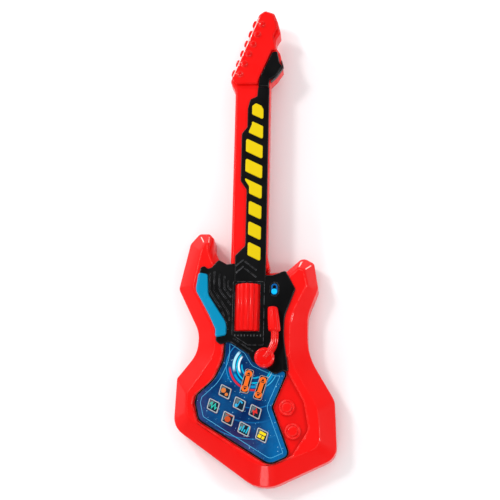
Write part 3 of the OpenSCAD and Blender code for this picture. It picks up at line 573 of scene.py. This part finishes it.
def board_stuff(name):
    """Solder resist with lighter tracks below it."""
    p = Paint(name)
    cells = p.node("ShaderNodeTexVoronoi", {"Vector": p.place, "Scale": 260},
                   feature="DISTANCE_TO_EDGE", distance="MANHATTAN")
    track = p.remap(cells.outputs["Distance"], 0.05, 0.09, 1.0, 0.0)
    base = p.mix(track, (0.004, 0.07, 0.03, 1), (0.02, 0.17, 0.07, 1))
    p.set(Base_Color=base, Roughness=0.35, Normal=p.bump(track, 0.3, 0.00005))
    return p.material


def printed_panel(p, base):
    """Printed night-blue artwork: haze, grid lines and swept arcs."""
    split = p.node("ShaderNodeSeparateXYZ", {0: p.place})
    x, y = split.outputs["X"], split.outputs["Y"]
    haze = p.remap(p.noise(24, 4, 0.6), 0.35, 0.7)
    base = p.mix(haze, linear(0, 36, 88), linear(0, 82, 138))
    base = p.mix(p.remap(x, 0.002, 0.034, 0.0, 0.6), base, linear(0, 108, 172))
    base = p.mix(p.remap(x, -0.05, -0.074, 0.0, 0.5), base, linear(70, 60, 110))
    low_left = p.math("MULTIPLY", p.remap(y, -0.232, -0.275), p.remap(x, 0.02, -0.03))
    base = p.mix(p.math("MULTIPLY", low_left, 0.45), base, linear(96, 22, 52))
    dx = p.math("SUBTRACT", -0.0016, x)
    dy = p.math("SUBTRACT", -0.168, y)
    far = p.math("SQRT", p.math("ADD", p.math("MULTIPLY", dx, dx), p.math("MULTIPLY", dy, dy)))
    angle = p.math("ARCTAN2", dy, dx)
    for r, w, lo, hi, paint in (
            (0.0150, 0.0013, -0.2, 2.2, linear(0, 160, 205)),
            (0.0188, 0.0014, -0.75, 0.55, linear(225, 242, 250)),
            (0.0212, 0.0010, -0.8, 3.0, linear(0, 190, 225)),
            (0.0250, 0.0020, -0.85, 0.35, linear(170, 225, 245)),
            (0.0235, 0.0006, 1.6, 3.0, linear(150, 220, 245)),
            (0.0258, 0.0018, 0.3, 2.9, linear(0, 140, 195)),
            (0.0300, 0.0015, 0.0, 1.9, linear(205, 30, 48)),
            (0.0296, 0.0007, 2.0, 2.9, linear(60, 180, 225)),
            (0.0345, 0.0007, -0.9, 0.7, linear(20, 130, 190)),
            (0.0520, 0.0008, 1.0, 2.2, linear(10, 100, 160)),
            (0.0700, 0.0012, 0.9, 2.1, linear(6, 84, 140)),
            (0.0900, 0.0007, 1.0, 2.0, linear(20, 110, 165))):
        off = p.math("ABSOLUTE", p.math("SUBTRACT", far, r))
        band = p.remap(off, w, w * 0.55)
        window = p.math("MULTIPLY", p.remap(angle, lo, lo + 0.2), p.remap(angle, hi, hi - 0.3))
        base = p.mix(p.math("MULTIPLY", band, window), base, paint)
    spark = p.remap(p.noise(520, 1, 0.3), 0.73, 0.78)
    return p.mix(p.math("MULTIPLY", spark, 0.7), base, linear(150, 220, 250))


# The pale edges of the red and black plastics are bright enough to paint the highlights along
# ridges and rib edges, as well as wear. quiet_trim is black_trim with fainter painted edge
# highlights.
red_shell = moulded("red_shell_plastic", (236, 9, 6), wear_and_highlight_colour=(255, 120, 112), wear_and_highlight=0.4,
                    edge=(0.0012, 0.03))
red_control = moulded("red_control_plastic", (232, 8, 5), wear_and_highlight_colour=(255, 130, 120), wear_and_highlight=0.3)
red_gloss = moulded("red_gloss_plastic", (228, 6, 4), rough=0.22, coat=1.0,
                    wear_and_highlight_colour=(255, 150, 142), wear_and_highlight=0.5)
# Pale plastic for painted highlights: glints on the horn corners and the bright line on the
# headstock.
painted_glint = moulded("painted_glint_plastic", (255, 205, 198), wear_and_highlight_colour=(255, 240, 236))
black_trim = moulded("black_trim_plastic", (7, 7, 8), rough=0.32, specular=0.25,
                     wear_and_highlight_colour=(128, 130, 134), wear_and_highlight=0.7)
quiet_trim = moulded("quiet_trim_plastic", (7, 7, 8), rough=0.32, specular=0.25,
                     wear_and_highlight_colour=(60, 61, 64), wear_and_highlight=0.3)
yellow_pad = moulded("yellow_pad_plastic", (218, 190, 0), rough=0.34, wear_and_highlight_colour=(255, 244, 150))
cyan_lens = moulded("cyan_lens_plastic", (0, 134, 176), rough=0.24, wear_and_highlight_colour=(140, 225, 240))
sky_knob = moulded("sky_knob_plastic", (0, 186, 255), rough=0.22, wear_and_highlight_colour=(190, 240, 255))
# Blue darkened to paint the shade on the slider seen in the switch's well.
painted_shade_blue = moulded("painted_shade_blue_plastic", (0, 92, 160), rough=0.3, wear_and_highlight_colour=(90, 150, 200))
pale_key = moulded("pale_key_plastic", (176, 186, 192), rough=0.36, wear_and_highlight_colour=(235, 238, 240))
dark_key = moulded("dark_key_print", (16, 34, 52), rough=0.3, wear_and_highlight_colour=(90, 110, 130))
# Grey for the painted sheen on the keys' faces.
painted_key_sheen = moulded("key_sheen_painted_highlight", (92, 104, 110), rough=0.3, wear_and_highlight=0.1)
orange_key = moulded("orange_key_plastic", (240, 104, 24), rough=0.34, wear_and_highlight_colour=(255, 190, 140))
grey_inner = moulded("grey_inner_plastic", (70, 72, 76), rough=0.5, coat=0.0)
rubber = moulded("membrane_rubber", (120, 122, 124), rough=0.7, coat=0.0, specular=0.2)
mark_print = moulded("grey_mark_print", (92, 94, 96), rough=0.4, wear_and_highlight=0.1)
print_line = moulded("light_blue_print", (70, 170, 215), rough=0.32, wear_and_highlight=0.2)
wrap_orange = moulded("cell_wrap_film", (225, 120, 40), rough=0.35)
paper_cone = moulded("speaker_cone_paper", (40, 40, 42), rough=0.8, coat=0.0, grain=3.0)
lead_red = moulded("lead_sleeve", (160, 22, 20), rough=0.5, coat=0.0)
led_clear = moulded("led_clear_resin", (235, 238, 240), rough=0.15)
panel_print = moulded("blue_panel_print", (0, 60, 120), rough=0.26, coat=0.3,
                      colour_socket=printed_panel, wear_and_highlight=0.15)
steel = metal("bright_steel", (0.62, 0.63, 0.65, 1))
board_green = board_stuff("green_circuit_board")
icon_paints = [moulded(f"icon_print_{i}", c, rough=0.34, wear_and_highlight=0.1) for i, c in enumerate((
    (214, 118, 52), (40, 190, 170), (40, 170, 220), (214, 44, 40), (196, 74, 30),
    (30, 180, 210), (236, 208, 20)))]


# ---------------------------------------------------------------- body front shell
def dummy_knob(form, at):
    """Round knob with a raised ring, moulded in the recessed part of the face."""
    base = RECESS
    profile = [(0, base - 0.4), (9.9, base - 0.4), (9.9, base)]
    profile += fillet(9.7, base + 0.6, 8.7, base + 1.5)
    profile += [(8.0, base + 1.5), (7.6, base + 0.5), (6.2, base + 0.5)]
    profile += fillet(5.8, base + 1.8, 4.7, base + 2.7)
    profile += [(3.4, base + 2.75), (0, base + 2.8)]
    form.lathe((*at, 0), profile)


def front_shell():
    """Hollow front half of the body, open at the back, with its windows and dummy knobs."""
    form = Form()
    outline, ridge = rounded(BODY), rounded(RIDGE)
    step, panel = rounded(STEP), rounded(PANEL)
    outer = soften([
        level(outline, REAR_TOP), level(outline, RIM), level(ridge, FACE - 1.4),
        level(inset(ridge, 2.2), FACE), level(inset(ridge, 2.9), FACE)], [0, 1.8, 0.8, 0.7, 0], 5)
    inner = [level(inset(outline, 2.4), REAR_TOP), level(inset(outline, 2.4), RIM - 1),
             level(inset(ridge, 2.6), DECK_UNDER)]
    out_low, out_top = form.walls(outer)
    in_low, in_top = form.walls(inner, flip=True)
    form.bridge(in_low, out_low)
    rim, floor = form.walls(soften([
        level(inset(step, -1.0), FACE), level(inset(step, -0.2), FACE),
        level(inset(step, 0.6), RECESS), level(inset(step, 1.4), RECESS)], [0, 0.7, 0.7, 0]))
    hole_top, hole_low = form.walls([
        level(inset(panel, -1.6), RECESS), level(inset(panel, -1.6), PANEL_UNDER),
        level(inset(panel, 2.6), PANEL_UNDER), level(inset(panel, 2.6), DECK_UNDER)])
    win_top, win_low = form.walls(prism(rectangle(*ROLLER_WINDOW), FACE, DECK_UNDER))
    form.cap([out_top, rim, win_top])
    form.cap([floor, hole_top])
    form.cap([in_top, hole_low, win_low], up=False)
    for at in KNOB_AT:
        dummy_knob(form, at)
    # Painted highlights: pale slivers on the slopes at the horn tips.
    form.slot = 1
    for corner in HORN_CORNERS:
        form.painted_glint_crease(outline, ridge, corner * (CORNER_STEPS + 1) + CORNER_STEPS // 2)
    form.make("front_shell_body", "chassis", [red_shell, painted_glint], ["body_front_shell"])


# ---------------------------------------------------------------- neck and headstock
def neck_front():
    """Hollow front half of the neck, with the tuning pegs on the headstock's side."""
    form = Form()
    outline = rounded(NECK)
    hollow = inset(outline, 2.6)
    low, top = form.walls(chamfered(outline, NECK_SPLIT, NECK_FACE, 2.6, 2.4, 3.1, (1.0, 0.9), 5))
    in_low, in_top = form.walls(prism(hollow, NECK_SPLIT, NECK_FACE - 4.4), flip=True)
    form.bridge(in_low, low)
    form.cap([top])
    form.cap([in_top], up=False)
    for i in range(TUNERS):
        at = (-9.8 - i * 5.27, 297 - i * 14.2, 38)
        profile = [(0, -3), (4.6, -3), (4.6, 0.6)] + fillet(5.0, 1.2, 3.6, 3.3, 6)
        profile += [(2.4, 3.42), (2.1, 3.1), (0, 3.1)]
        form.lathe(at, profile, 40, PEG_WAY)
    form.make("neck_front_half", "chassis", [red_shell], ["neck_front_shell"])


def headstock():
    """Raised headstock cover with its studs."""
    form = Form()
    form.solid(chamfered(rounded(HEAD), NECK_FACE, HEAD_FACE, 0.95, 1.75, 2.2, (0.3, 0.15)))
    form.slot = 2
    z = HEAD_FACE
    for i in range(TUNERS):
        along = i * 15.3
        at = (-0.5 - along * 0.365, 292 - along * 0.93, 0)
        profile = [(0, z - 0.4), (4.6, z - 0.4), (4.5, z)] + fillet(4.2, z + 0.5, 3.5, z + 1.15, 4)
        profile += [(3.1, z + 1.15)] + fillet(3.0, z + 1.5, 1.7, z + 2.35, 5) + [(0, z + 2.4)]
        form.lathe(at, profile, 36)
    # Pale bead, a painted highlight for the bright line along the headstock's straight edge.
    form.slot = 1
    bead = ribbon([(-37.3, 217.2), (-4.7, 301.5)], 1.0)
    form.solid(chamfered(bead, z - 1.2, z - 0.35, 0.15, 0.2, 0.3, (0.1, 0.05)))
    form.make("headstock_face", "chassis", [red_control, painted_glint, red_gloss], ["headstock_cover"])


def headstock_accent():
    """Black corner beside the headstock cover, with a strip down the neck's side."""
    form = Form()
    form.solid(chamfered(rounded(ACCENT), NECK_FACE, HEAD_FACE - 1.6, 1.4, 0.9, 1.3, (0.5, 0.5)))
    form.slot = 1
    skirt = [(12.6, 211.2), (20.3, 218.9), (28.6, 231.6), (26.4, 240.5)]
    form.solid(soften([
        level(ribbon(skirt, 1.4), 40.6), level(ribbon(skirt, 1.4), 46.6),
        level(ribbon(skirt, 0.8), 47.0), level(ribbon(skirt, 0.6), 47.0)], [0, 0.2, 0.1, 0]))
    form.make("headstock_trim", "chassis", [quiet_trim, black_trim], ["headstock_accent"])


def rib(form, line, width, top):
    """Rib with a rounded edge, raised from the face at height top."""
    foot, crest = top - 0.2, top + 0.9
    form.solid(chamfered(ribbon(line, width), foot, crest, 0.15, 0.28, 0.42, (0.25, 0.2), 3))


def fingerboard():
    """Stepped black fingerboard with two raised chevrons at its foot."""
    form = Form()
    form.solid(chamfered(rounded(BOARD), BOARD_UNDER, BOARD_TOP, 0.8, 0.7, 1.0, (0.4, 0.4)))
    for y in (-41, -50):
        rib(form, [(-26.5, y), (-17.5, y + 8.5)], 1.2, BOARD_TOP)
        rib(form, [(-15.5, y + 6), (-1, y - 5.5)], 1.2, BOARD_TOP)
    form.make("fingerboard_black", "chassis", [black_trim], ["fingerboard"])


def fret_pads():
    """Raised yellow pads: slanted slices of one border."""
    form = Form()
    border = [Vector(p) for p in PAD_BORDER]
    for i in range(FRET_PADS):
        y = i * PAD_PITCH
        cut = clipped(border, (-24, -21 + y), (10, -38 + y))
        cut = clipped(cut, (10, -20 + y), (-24, -3 + y))
        form.solid(chamfered(eased(cut, 2.0), BOARD_TOP - 0.6, BOARD_TOP + 1.2, 0.6, 0.7, 1.1,
                             (0.5, 0.5)))
    form.make("fret_pads_yellow", "chassis", [yellow_pad], ["fret_pads"])


# ---------------------------------------------------------------- face plate and light bar
def face_plate():
    """Black plate with its ribs, the switch's dish and the raised block round the roller."""
    form = Form()
    dish = stadium(SWITCH_AT, 6.0, SWITCH_TRAVEL)
    low, top = form.walls(chamfered(rounded(PLATE), FACE, PLATE_TOP, 1.2, 1.0, 1.35, (0.6, 0.5)))
    slot_top, slot_low = form.walls(prism(rectangle(*PLATE_SLOT), PLATE_TOP, FACE))
    dish_top, dish_low = form.walls(prism(dish, PLATE_TOP, PLATE_TOP - 1.6))
    form.cap([top, slot_top, dish_top])
    form.cap([low, slot_low], up=False)
    form.cap([dish_low])
    for line in RIB_LINES:
        rib(form, line, 1.5, PLATE_TOP)
    for line in ([(-31, -138.5), (-7, -154)], [(-28, -134), (-3, -150)]):
        rib(form, line, 1.2, PLATE_TOP)
    block = rounded(CENTRE_BLOCK[::-1], 5)
    foot = PLATE_TOP - 0.3
    low, top = form.walls(chamfered(block, foot, BOARD_TOP, 0.4, 0.4, 0.55, (0.3, 0.2)))
    hole_top, hole_low = form.walls(prism(rectangle(*BLOCK_HOLE), BOARD_TOP, foot))
    form.cap([top, hole_top])
    form.cap([low, hole_low], up=False)
    form.make("face_plate_black", "chassis", [black_trim], ["face_plate"])


def plate_marks():
    """Row of plain dashes and dots printed below the roller, in place of lettering."""
    form = Form()
    for k in range(9):
        x, y = -26 + k * 4.0, -130.2
        if k % 3 == 1:
            shape = circle((x, y), 0.75, 16)
        else:
            shape = rectangle((x - 0.5, x + 0.5), (y - 1.3, y + 1.3), 0.3)
        form.solid(prism(shape, BOARD_TOP - 0.05, BOARD_TOP + 0.05))
    form.make("plate_marks_print", "chassis", [mark_print])


def light_bar():
    """Blue lens along the left edge of the plate, leaning down to the left."""
    form = Form()
    form.solid(chamfered(rounded(BAR), FACE + 1, PLATE_TOP + 2.6, 2.2, 1.2, 1.6, (0.6, 0.4),
                         lean=1.6))
    form.make("light_bar_blue", "chassis", [cyan_lens], ["light_bar_lens"])


# ---------------------------------------------------------------- controls
def key_point(across, down, half=KEY_SIZE / 2):
    """Point of a key's face: across and down run from -1 to 1 between its edges."""
    return (KEY_SIDE * across + KEY_EDGE * down) * half


def key_outline(g):
    """Corners of a key's outline, grown by g."""
    corners = ((-1, -1), (-1, 1), (1, 1), (1, -1))
    return [key_point(*corner, KEY_SIZE / 2 + g) for corner in corners]


def key_shape(at, g, r):
    """Rounded outline of the key at at, grown by g, with corners of radius r."""
    return [p + Vector(at) for p in rounded([(p.x, p.y, r) for p in key_outline(g)], 6)]


def icon(i):
    """Outlines of one generic pictogram, about 9 mm across, in a key's own frame."""
    bolt = [(-0.2, 0.9), (-0.8, 4.8), (3.2, -0.8), (0.2, -1.2), (0.8, -5), (-3.2, 0.4)]
    note = [circle((-2, -2.6), 1.7, 20), ribbon([(-0.5, -2.6), (-0.5, 3.6)], 0.8),
            ribbon([(-0.5, 3.3), (2.8, 2.0)], 1.5)]
    shapes = [
        [circle((-1.9, 0.6), 2.5, 24), circle((2.6, -1.8), 1.7, 20)],
        [ribbon([(-4, 0), (-2.4, 2.6), (-0.6, -2.6), (1.2, 2.6), (3, -2.2), (4, 0)], 1.0)],
        note,
        [[Vector(p) for p in bolt]],
        [circle((0, -0.6), 3.0, 24), ribbon([(-3.8, 3.4), (3.6, 4.2)], 0.9)],
        [ribbon([(-3.6, -3), (-3.6, 1)], 1.3), ribbon([(-1.2, -3), (-1.2, 3)], 1.3),
         ribbon([(1.2, -3), (1.2, 0)], 1.3), ribbon([(3.6, -3), (3.6, 4)], 1.3)],
        [rectangle((-3.4, 0.3), (-3.4, -0.2), 0.5), rectangle((0.9, 3.6), (-3.4, -0.2), 0.5),
         rectangle((-3.4, 3.6), (0.6, 3.4), 0.5)]]
    return shapes[i]


def counter_clockwise(points):
    """The same outline, turned round if it runs clockwise."""
    area = sum(p.x * points[(i + 1) % len(points)].y - points[(i + 1) % len(points)].x * p.y
               for i, p in enumerate(points))
    return points if area > 0 else points[::-1]


def square_key(i):
    """Square key cap: pale frame, dark face with a painted sheen, and a raised pictogram."""
    at = KEY_AT[i]
    form = Form()
    body, foot = key_shape(at, 0, 1.6), key_shape(at, 0.85, 2.4)
    form.solid(prism(foot, 37.7, 38.8))
    form.solid(chamfered(body, 38.7, KEY_TOP - 0.1, 0.6, 0.6, 0.9, (0.5, 0.3)))
    form.slot = 1
    tile = key_shape(at, -1.15, 1.0)
    form.solid(chamfered(tile, KEY_TOP - 0.5, KEY_TOP + 0.1, 0.12, 0.2, 0.4, (0.1, 0.1)))
    # Painted sheen: a grey triangle on the face's upper-left corner stands for the light on its
    # gloss.
    form.slot = 3
    corners = ((-0.72, 0.72), (-0.72, -0.72), (0.1, -0.72))
    sheen = counter_clockwise([Vector(at) + key_point(*corner) for corner in corners])
    form.solid(prism(sheen, KEY_TOP, KEY_TOP + 0.14))
    form.slot = 2
    axis = math.degrees(math.atan2(KEY_SIDE.y, KEY_SIDE.x))
    for shape in icon(i):
        outline = turned([p * ICON_SCALE for p in counter_clockwise(shape)], at, axis)
        form.solid(prism(outline, KEY_TOP, KEY_TOP + 0.18))
    name = f"key_{i + 1}"
    form.make(f"{name}_cap", name, [pale_key, dark_key, icon_paints[i], painted_key_sheen], [name])


def dumbbell(r, reach, w, count=18):
    """Two discs joined by a bar along Y, counter-clockwise."""
    a = math.asin(w / 2 / r)
    turns = [-math.pi / 2 + a + (2 * math.pi - 2 * a) * k / count for k in range(count + 1)]
    top = [Vector((r * math.cos(t), reach + r * math.sin(t))) for t in turns]
    return top + [Vector((-p.x, -p.y)) for p in top]


def rocker(i, name):
    """Tall key that tilts both ways: black edge, pale rim and an orange inlay with two marks."""
    x, y, lean = ROCKER_AT[i]
    form = Form()
    w, h = ROCKER_SIZE[0] / 2, ROCKER_SIZE[1] / 2
    plain = rounded([(w, -h, 2.4), (w, h, 2.4), (-w, h, 2.4), (-w, -h, 2.4)], 7)
    body = turned(plain, (x, y), lean)
    form.slot = 2
    form.solid(chamfered(body, 40.3, KEY_TOP - 0.3, 0.4, 0.3, 0.5, (0.2, 0.1)))
    form.slot = 0
    form.solid(soften([
        level(inset(body, 0.5), KEY_TOP - 0.8), level(inset(body, 0.5), KEY_TOP - 0.3),
        level(inset(body, 0.9), KEY_TOP - 0.05), level(inset(body, 1.2), KEY_TOP - 0.05)],
        [0, 0.2, 0.2, 0]))
    form.slot = 1
    reach = 9.1
    inlay = turned(dumbbell(4.5, reach, 5.0), (x, y), lean)
    form.solid(chamfered(inlay, KEY_TOP - 0.4, KEY_TOP + 0.4, 0.25, 0.25, 0.4, (0.2, 0.1)))
    form.slot = 0
    for s in (-1, 1):
        arrow = [Vector((-2.2, s * 8.4)), Vector((2.2, s * 8.4)), Vector((0, s * 11.4))]
        dash = ribbon([(-2.4, -2.1 * s), (2.4, -2.1 * s)], 1.1)
        for shape in (arrow, [Vector((q.x, q.y + s * reach)) for q in dash]):
            outline = turned(counter_clockwise(shape), (x, y), lean)
            form.solid(prism(outline, KEY_TOP + 0.3, KEY_TOP + 0.5))
    form.make(f"{name}_cap", name, [black_trim, orange_key, pale_key], [name])


def panel_line():
    """Printed light-blue line inside the edge of the control panel."""
    form = Form()
    wide, slim = rounded(shrunk(PANEL, 5.6)), rounded(shrunk(PANEL, 6.2))
    low, high = PANEL_TOP - 0.1, PANEL_TOP + 0.06
    wide_low, wide_high = form.walls(prism(wide, low, high))
    slim_low, slim_high = form.walls(prism(slim, low, high), flip=True)
    form.bridge(wide_high, slim_high)
    form.bridge(slim_low, wide_low)
    form.make("panel_outline_print", "chassis", [print_line])


def strum_roller():
    """Fluted roller about an axis along Y, open for its axle."""
    form = Form()
    x, y, z = ROLLER_AT
    flutes, count, depth = 16, 192, 1.7
    half = ROLLER_LEN / 2

    def hub(along, r, wave=0.0):
        """Ring at a place along the axis, with flutes that rise by wave over its radius r."""
        ring = []
        for k in range(count):
            a = 2 * math.pi * k / count
            reach = r + wave * (0.5 + 0.5 * math.cos(a * flutes)) ** 0.5
            ring.append(Vector((x + reach * math.sin(a), y + along, z + reach * math.cos(a))))
        return ring

    def section(along, shrink):
        """Fluted ring at a place along the axis, made smaller by shrink."""
        return hub(along, ROLLER_R - depth - shrink, depth)

    rings = [hub(-half, 2.1), hub(-half, 8), section(-half, 1.4), section(-half + 0.3, 0.6),
             section(-half + 1.2, 0), section(half - 1.2, 0), section(half - 0.3, 0.6),
             section(half, 1.4), hub(half, 8), hub(half, 2.1)]
    first, last = form.walls(rings)
    form.bridge(last, first)
    form.make("strum_roller_fluted", "strum_roller", [red_control], ["strum_roller"])


def smooth_path(points, per=6):
    """Catmull-Rom curve through 2-D points."""
    pts = [Vector(p) for p in points]
    pts = [2 * pts[0] - pts[1]] + pts + [2 * pts[-1] - pts[-2]]
    out = []
    for i in range(1, len(pts) - 2):
        a, b, c, d = pts[i - 1:i + 3]
        for k in range(per):
            t = k / per
            out.append(0.5 * (2 * b + (c - a) * t + (2 * a - 5 * b + 4 * c - d) * t ** 2
                              + (3 * b - a - 3 * c + d) * t ** 3))
    return out + [pts[-2]]


def tremolo_arm():
    """Pivot disc and the bent arm, whose section is a flat strip with two beads."""
    low = PLATE_TOP
    form = Form()
    profile = [(0, low + 0.4), (11.6, low + 0.4), (12.4, low + 1.0), (12.4, low + 7.7)]
    profile += fillet(12.4, low + 8.2, 11.6, low + 9.15, 4)
    profile += fillet(10.9, low + 9.85, 10.1, low + 10.35, 4)
    profile += [(9.6, low + 10.35), (9.2, low + 9.9), (8.7, low + 10.0), (4.0, low + 10.15),
                (0, low + 10.2)]
    form.lathe((*PIVOT, 0), profile, 72)
    path = smooth_path(ARM_PATH, 8)
    base, top = low + 3.2, low + 9.6
    rings = []
    for i, p in enumerate(path):
        ahead = (path[min(i + 1, len(path) - 1)] - path[max(i - 1, 0)]).normalized()
        side = Vector((-ahead.y, ahead.x))
        cross = [(4.7, base), (4.7, top - 1.6), (4.35, top - 0.6), (3.7, top - 0.1), (2.9, top),
                 (2.6, top - 0.35), (2.2, top + 0.1), (2.0, top + 0.9), (1.5, top + 1.3),
                 (1.0, top + 1.4), (0.6, top + 1.05)]
        cross += [(-s, h) for s, h in reversed(cross)]
        rings.append([Vector((*(p + side * s), h)) for s, h in cross])
    form.bar(rings)
    form.make("tremolo_arm_moulded", "tremolo", [red_gloss], ["tremolo_arm"],
              sharp=32)


def tremolo_grip():
    """Fluted grip with a flat underside, round stations of (y, radius)."""
    form = Form()
    low = PLATE_TOP
    z = low + 6.0
    stations = [(-126.0, 4.6), (-125.6, 6.4), (-124.6, 7.3), (-122.5, 7.6), (-116, 7.45),
                (-109, 7.2), (-102, 6.7), (-97.5, 6.3), (-95.6, 5.7), (-94.9, 4.2)]
    rings = []
    for y, r in stations:
        x = 21 + (23.7 - 21) * (-95.5 - y) / 29
        ring = []
        for k in range(96):
            a = 2 * math.pi * k / 96
            groove = 0.55 * (0.5 - 0.5 * math.cos(12 * a)) ** 1.5 * min(1, r / 7)
            rr = r - groove
            height = max(z + rr * math.cos(a), low + 2.5)
            ring.append(Vector((x + rr * math.sin(a), y, height)))
        rings.append(ring)
    form.bar(rings)
    form.make("tremolo_grip_fluted", "tremolo", [red_control], ["tremolo_grip"])


def switch_knob():
    """Sky-blue knob with a dished top."""
    form = Form()
    z = PLATE_TOP
    profile = [(0, z - 0.05), (3.2, z - 0.05), (3.7, z + 0.3), (3.7, z + 1.2)]
    profile += fillet(3.7, z + 1.4, 2.5, z + 2.3, 6) + [(1.6, z + 2.1), (0, z + 1.9)]
    form.lathe((*SWITCH_AT, 0), profile, 40)
    form.make("switch_knob_blue", "switch_knob", [sky_knob], ["switch_knob"])


def switch_dish():
    """Black ring and a blue well, darkened as painted shade, round the slit that the knob slides
    in.
    """
    form = Form()
    z = PLATE_TOP
    dish, well = stadium(SWITCH_AT, 5.9, SWITCH_TRAVEL), stadium(SWITCH_AT, 4.3, SWITCH_TRAVEL)
    slit = stadium(SWITCH_AT, 2.2, SWITCH_TRAVEL)
    low, out_top = form.walls(prism(dish, z - 1.2, z - 0.1))
    rim, inner = form.walls(soften([
        level(inset(dish, 0.3), z + 0.5), level(inset(dish, 0.9), z + 0.5),
        level(well, z - 0.2), level(inset(well, 0.3), z - 0.2)], [0, 0.2, 0.2, 0]))
    form.bridge(out_top, rim)
    # Painted shade: the well floor is dark blue.
    form.slot = 1
    slit_top, slit_low = form.walls(prism(slit, z - 0.2, z - 1.2))
    form.cap([inner, slit_top])
    form.slot = 0
    form.cap([low, slit_low], up=False)
    form.make("switch_dish_blue", "chassis", [black_trim, painted_shade_blue], ["switch_dish"])


# ---------------------------------------------------------------- carried-over frame nodes
def polish(node, material, width):
    """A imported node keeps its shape. Its moulded edges are rounded by modifiers."""
    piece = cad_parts[node]
    piece.data.materials.clear()
    piece.data.materials.append(material)
    weld = piece.modifiers.new("joined", "WELD")
    weld.merge_threshold = 1e-6
    if width:
        bevel = piece.modifiers.new("eased", "BEVEL")
        bevel.width = width * MM
        bevel.segments = 2
        bevel.limit_method = "ANGLE"
        bevel.angle_limit = math.radians(30)
    piece.data.shade_smooth()
    smooth = piece.modifiers.new("shading", "WEIGHTED_NORMAL")
    smooth.keep_sharp = True
    smooth.weight = 80


# Finish, width of the eased edges and names of the nodes that share them
KEPT = (
    (red_shell, 0.5, "body_rear_shell neck_rear_shell"), (black_trim, 0.25, "panel_bezel"),
    (panel_print, 0.2, "control_panel"), (board_green, 0.1, "light_board main_board"),
    (led_clear, 0.15, "light_leds"), (rubber, 0.2, "key_membrane"),
    (grey_inner, 0.15, "board_parts"), (steel, 0.1, "board_screws roller_axle tremolo_washer"),
    (steel, 0.1, "tremolo_screw battery_contacts brace_screws"),
    (grey_inner, 0.2, "roller_cradle speaker_clamp battery_box neck_brace"),
    (grey_inner, 0.1, "roller_sensor"), (steel, 0.0, "tremolo_spring"),
    (steel, 0.15, "switch_body door_screw case_screws neck_screws"), (paper_cone, 0.2, "speaker"),
    (wrap_orange, 0.3, "battery_cells"), (red_shell, 0.3, "battery_door"),
    (lead_red, 0.0, "speaker_leads battery_leads"))


# ---------------------------------------------------------------- stage
def floor_plane():
    """Plain pale floor just under the rest plane."""
    form = bmesh.new()
    bmesh.ops.create_grid(form, x_segments=8, y_segments=8, size=6)
    mesh = bpy.data.meshes.new("studio_floor")
    form.to_mesh(mesh)
    form.free()
    floor = bpy.data.objects.new("studio_floor", mesh)
    floor.location.z = -0.0005
    bpy.context.scene.collection.objects.link(floor)
    p = Paint("pale_floor")
    tone = p.remap(p.noise(3, 3), 0.3, 0.7)
    p.set(Base_Color=p.mix(tone, (0.91, 0.91, 0.91, 1), (0.93, 0.93, 0.93, 1)), Roughness=0.9,
          Specular_IOR_Level=0.1)
    mesh.materials.append(p.material)


def studio_world():
    """Even soft light, in which glossy surfaces see a pale horizon and a dark ceiling."""
    world = bpy.data.worlds.new("studio_world")
    bpy.context.scene.world = world
    world.use_nodes = True
    tree = world.node_tree
    way = add_node(tree, "ShaderNodeTexCoord").outputs["Generated"]
    height = add_node(tree, "ShaderNodeSeparateXYZ", {0: way}).outputs["Z"]
    horizon = add_node(tree, "ShaderNodeMapRange", {
        "Value": height, "From Min": 0.16, "From Max": 0.5, "To Min": 0.45, "To Max": 0.03},
        interpolation_type="SMOOTHSTEP").outputs["Result"]
    glossy = add_node(tree, "ShaderNodeLightPath").outputs["Is Glossy Ray"]
    strength = add_node(tree, "ShaderNodeMapRange", {
        "Value": glossy, "To Min": 0.86, "To Max": horizon}).outputs["Result"]
    sky = tree.nodes["Background"]
    wire(tree, (0.97, 0.98, 1.0, 1), sky.inputs["Color"])
    wire(tree, strength, sky.inputs["Strength"])


def lamps():
    """Four soft discs that face the middle of the toy."""
    middle = Vector((0, -0.02, 0.03))
    for name, at, size, power in (
            ("key_light", (-1.3, 0.7, 1.9), 0.45, 16), ("side_light", (-1.56, 1.72, 0.97), 0.4, 22),
            ("fill_light", (1.9, -0.1, 1.2), 0.4, 7), ("low_light", (-0.2, -2.1, 1.0), 0.5, 5)):
        data = bpy.data.lights.new(name, "AREA")
        data.shape = "DISK"
        data.size = size
        data.energy = power
        lamp = bpy.data.objects.new(name, data)
        lamp.location = at
        lamp.rotation_mode = "QUATERNION"
        lamp.rotation_quaternion = (middle - Vector(at)).to_track_quat("-Z", "Y")
        bpy.context.scene.collection.objects.link(lamp)


def camera():
    """Camera at the photograph's angle, above the toy and a little to its right."""
    azimuth, elevation = math.radians(18.6), math.radians(74)
    flat = math.cos(elevation)
    back = Vector((math.sin(azimuth) * flat, -math.cos(azimuth) * flat, math.sin(elevation)))
    right = (Vector((1, 0, 0)) - back * back.x).normalized()
    up = back.cross(right)
    data = bpy.data.cameras.new("photo_camera")
    data.lens = 84.3
    data.sensor_width = 36
    data.clip_start = 0.05
    cam = bpy.data.objects.new("photo_camera", data)
    turn = Matrix((right, up, back)).transposed().to_4x4()
    cam.matrix_world = Matrix.Translation(Vector((-0.010665, -0.016582, 0.035)) + back * 1.5) @ turn
    bpy.context.scene.collection.objects.link(cam)
    bpy.context.scene.camera = cam


camera()
floor_plane()
studio_world()
lamps()
front_shell()
neck_front()
headstock()
headstock_accent()
fingerboard()
fret_pads()
face_plate()
plate_marks()
light_bar()
panel_line()
for number in range(7):
    square_key(number)
rocker(0, "rocker_left")
rocker(1, "rocker_right")
strum_roller()
tremolo_arm()
tremolo_grip()
switch_knob()
switch_dish()
for finish, ease, node_names in KEPT:
    for node_name in node_names.split():
        polish(node_name, finish, ease)
bpy.context.scene.view_settings.view_transform = "Standard"
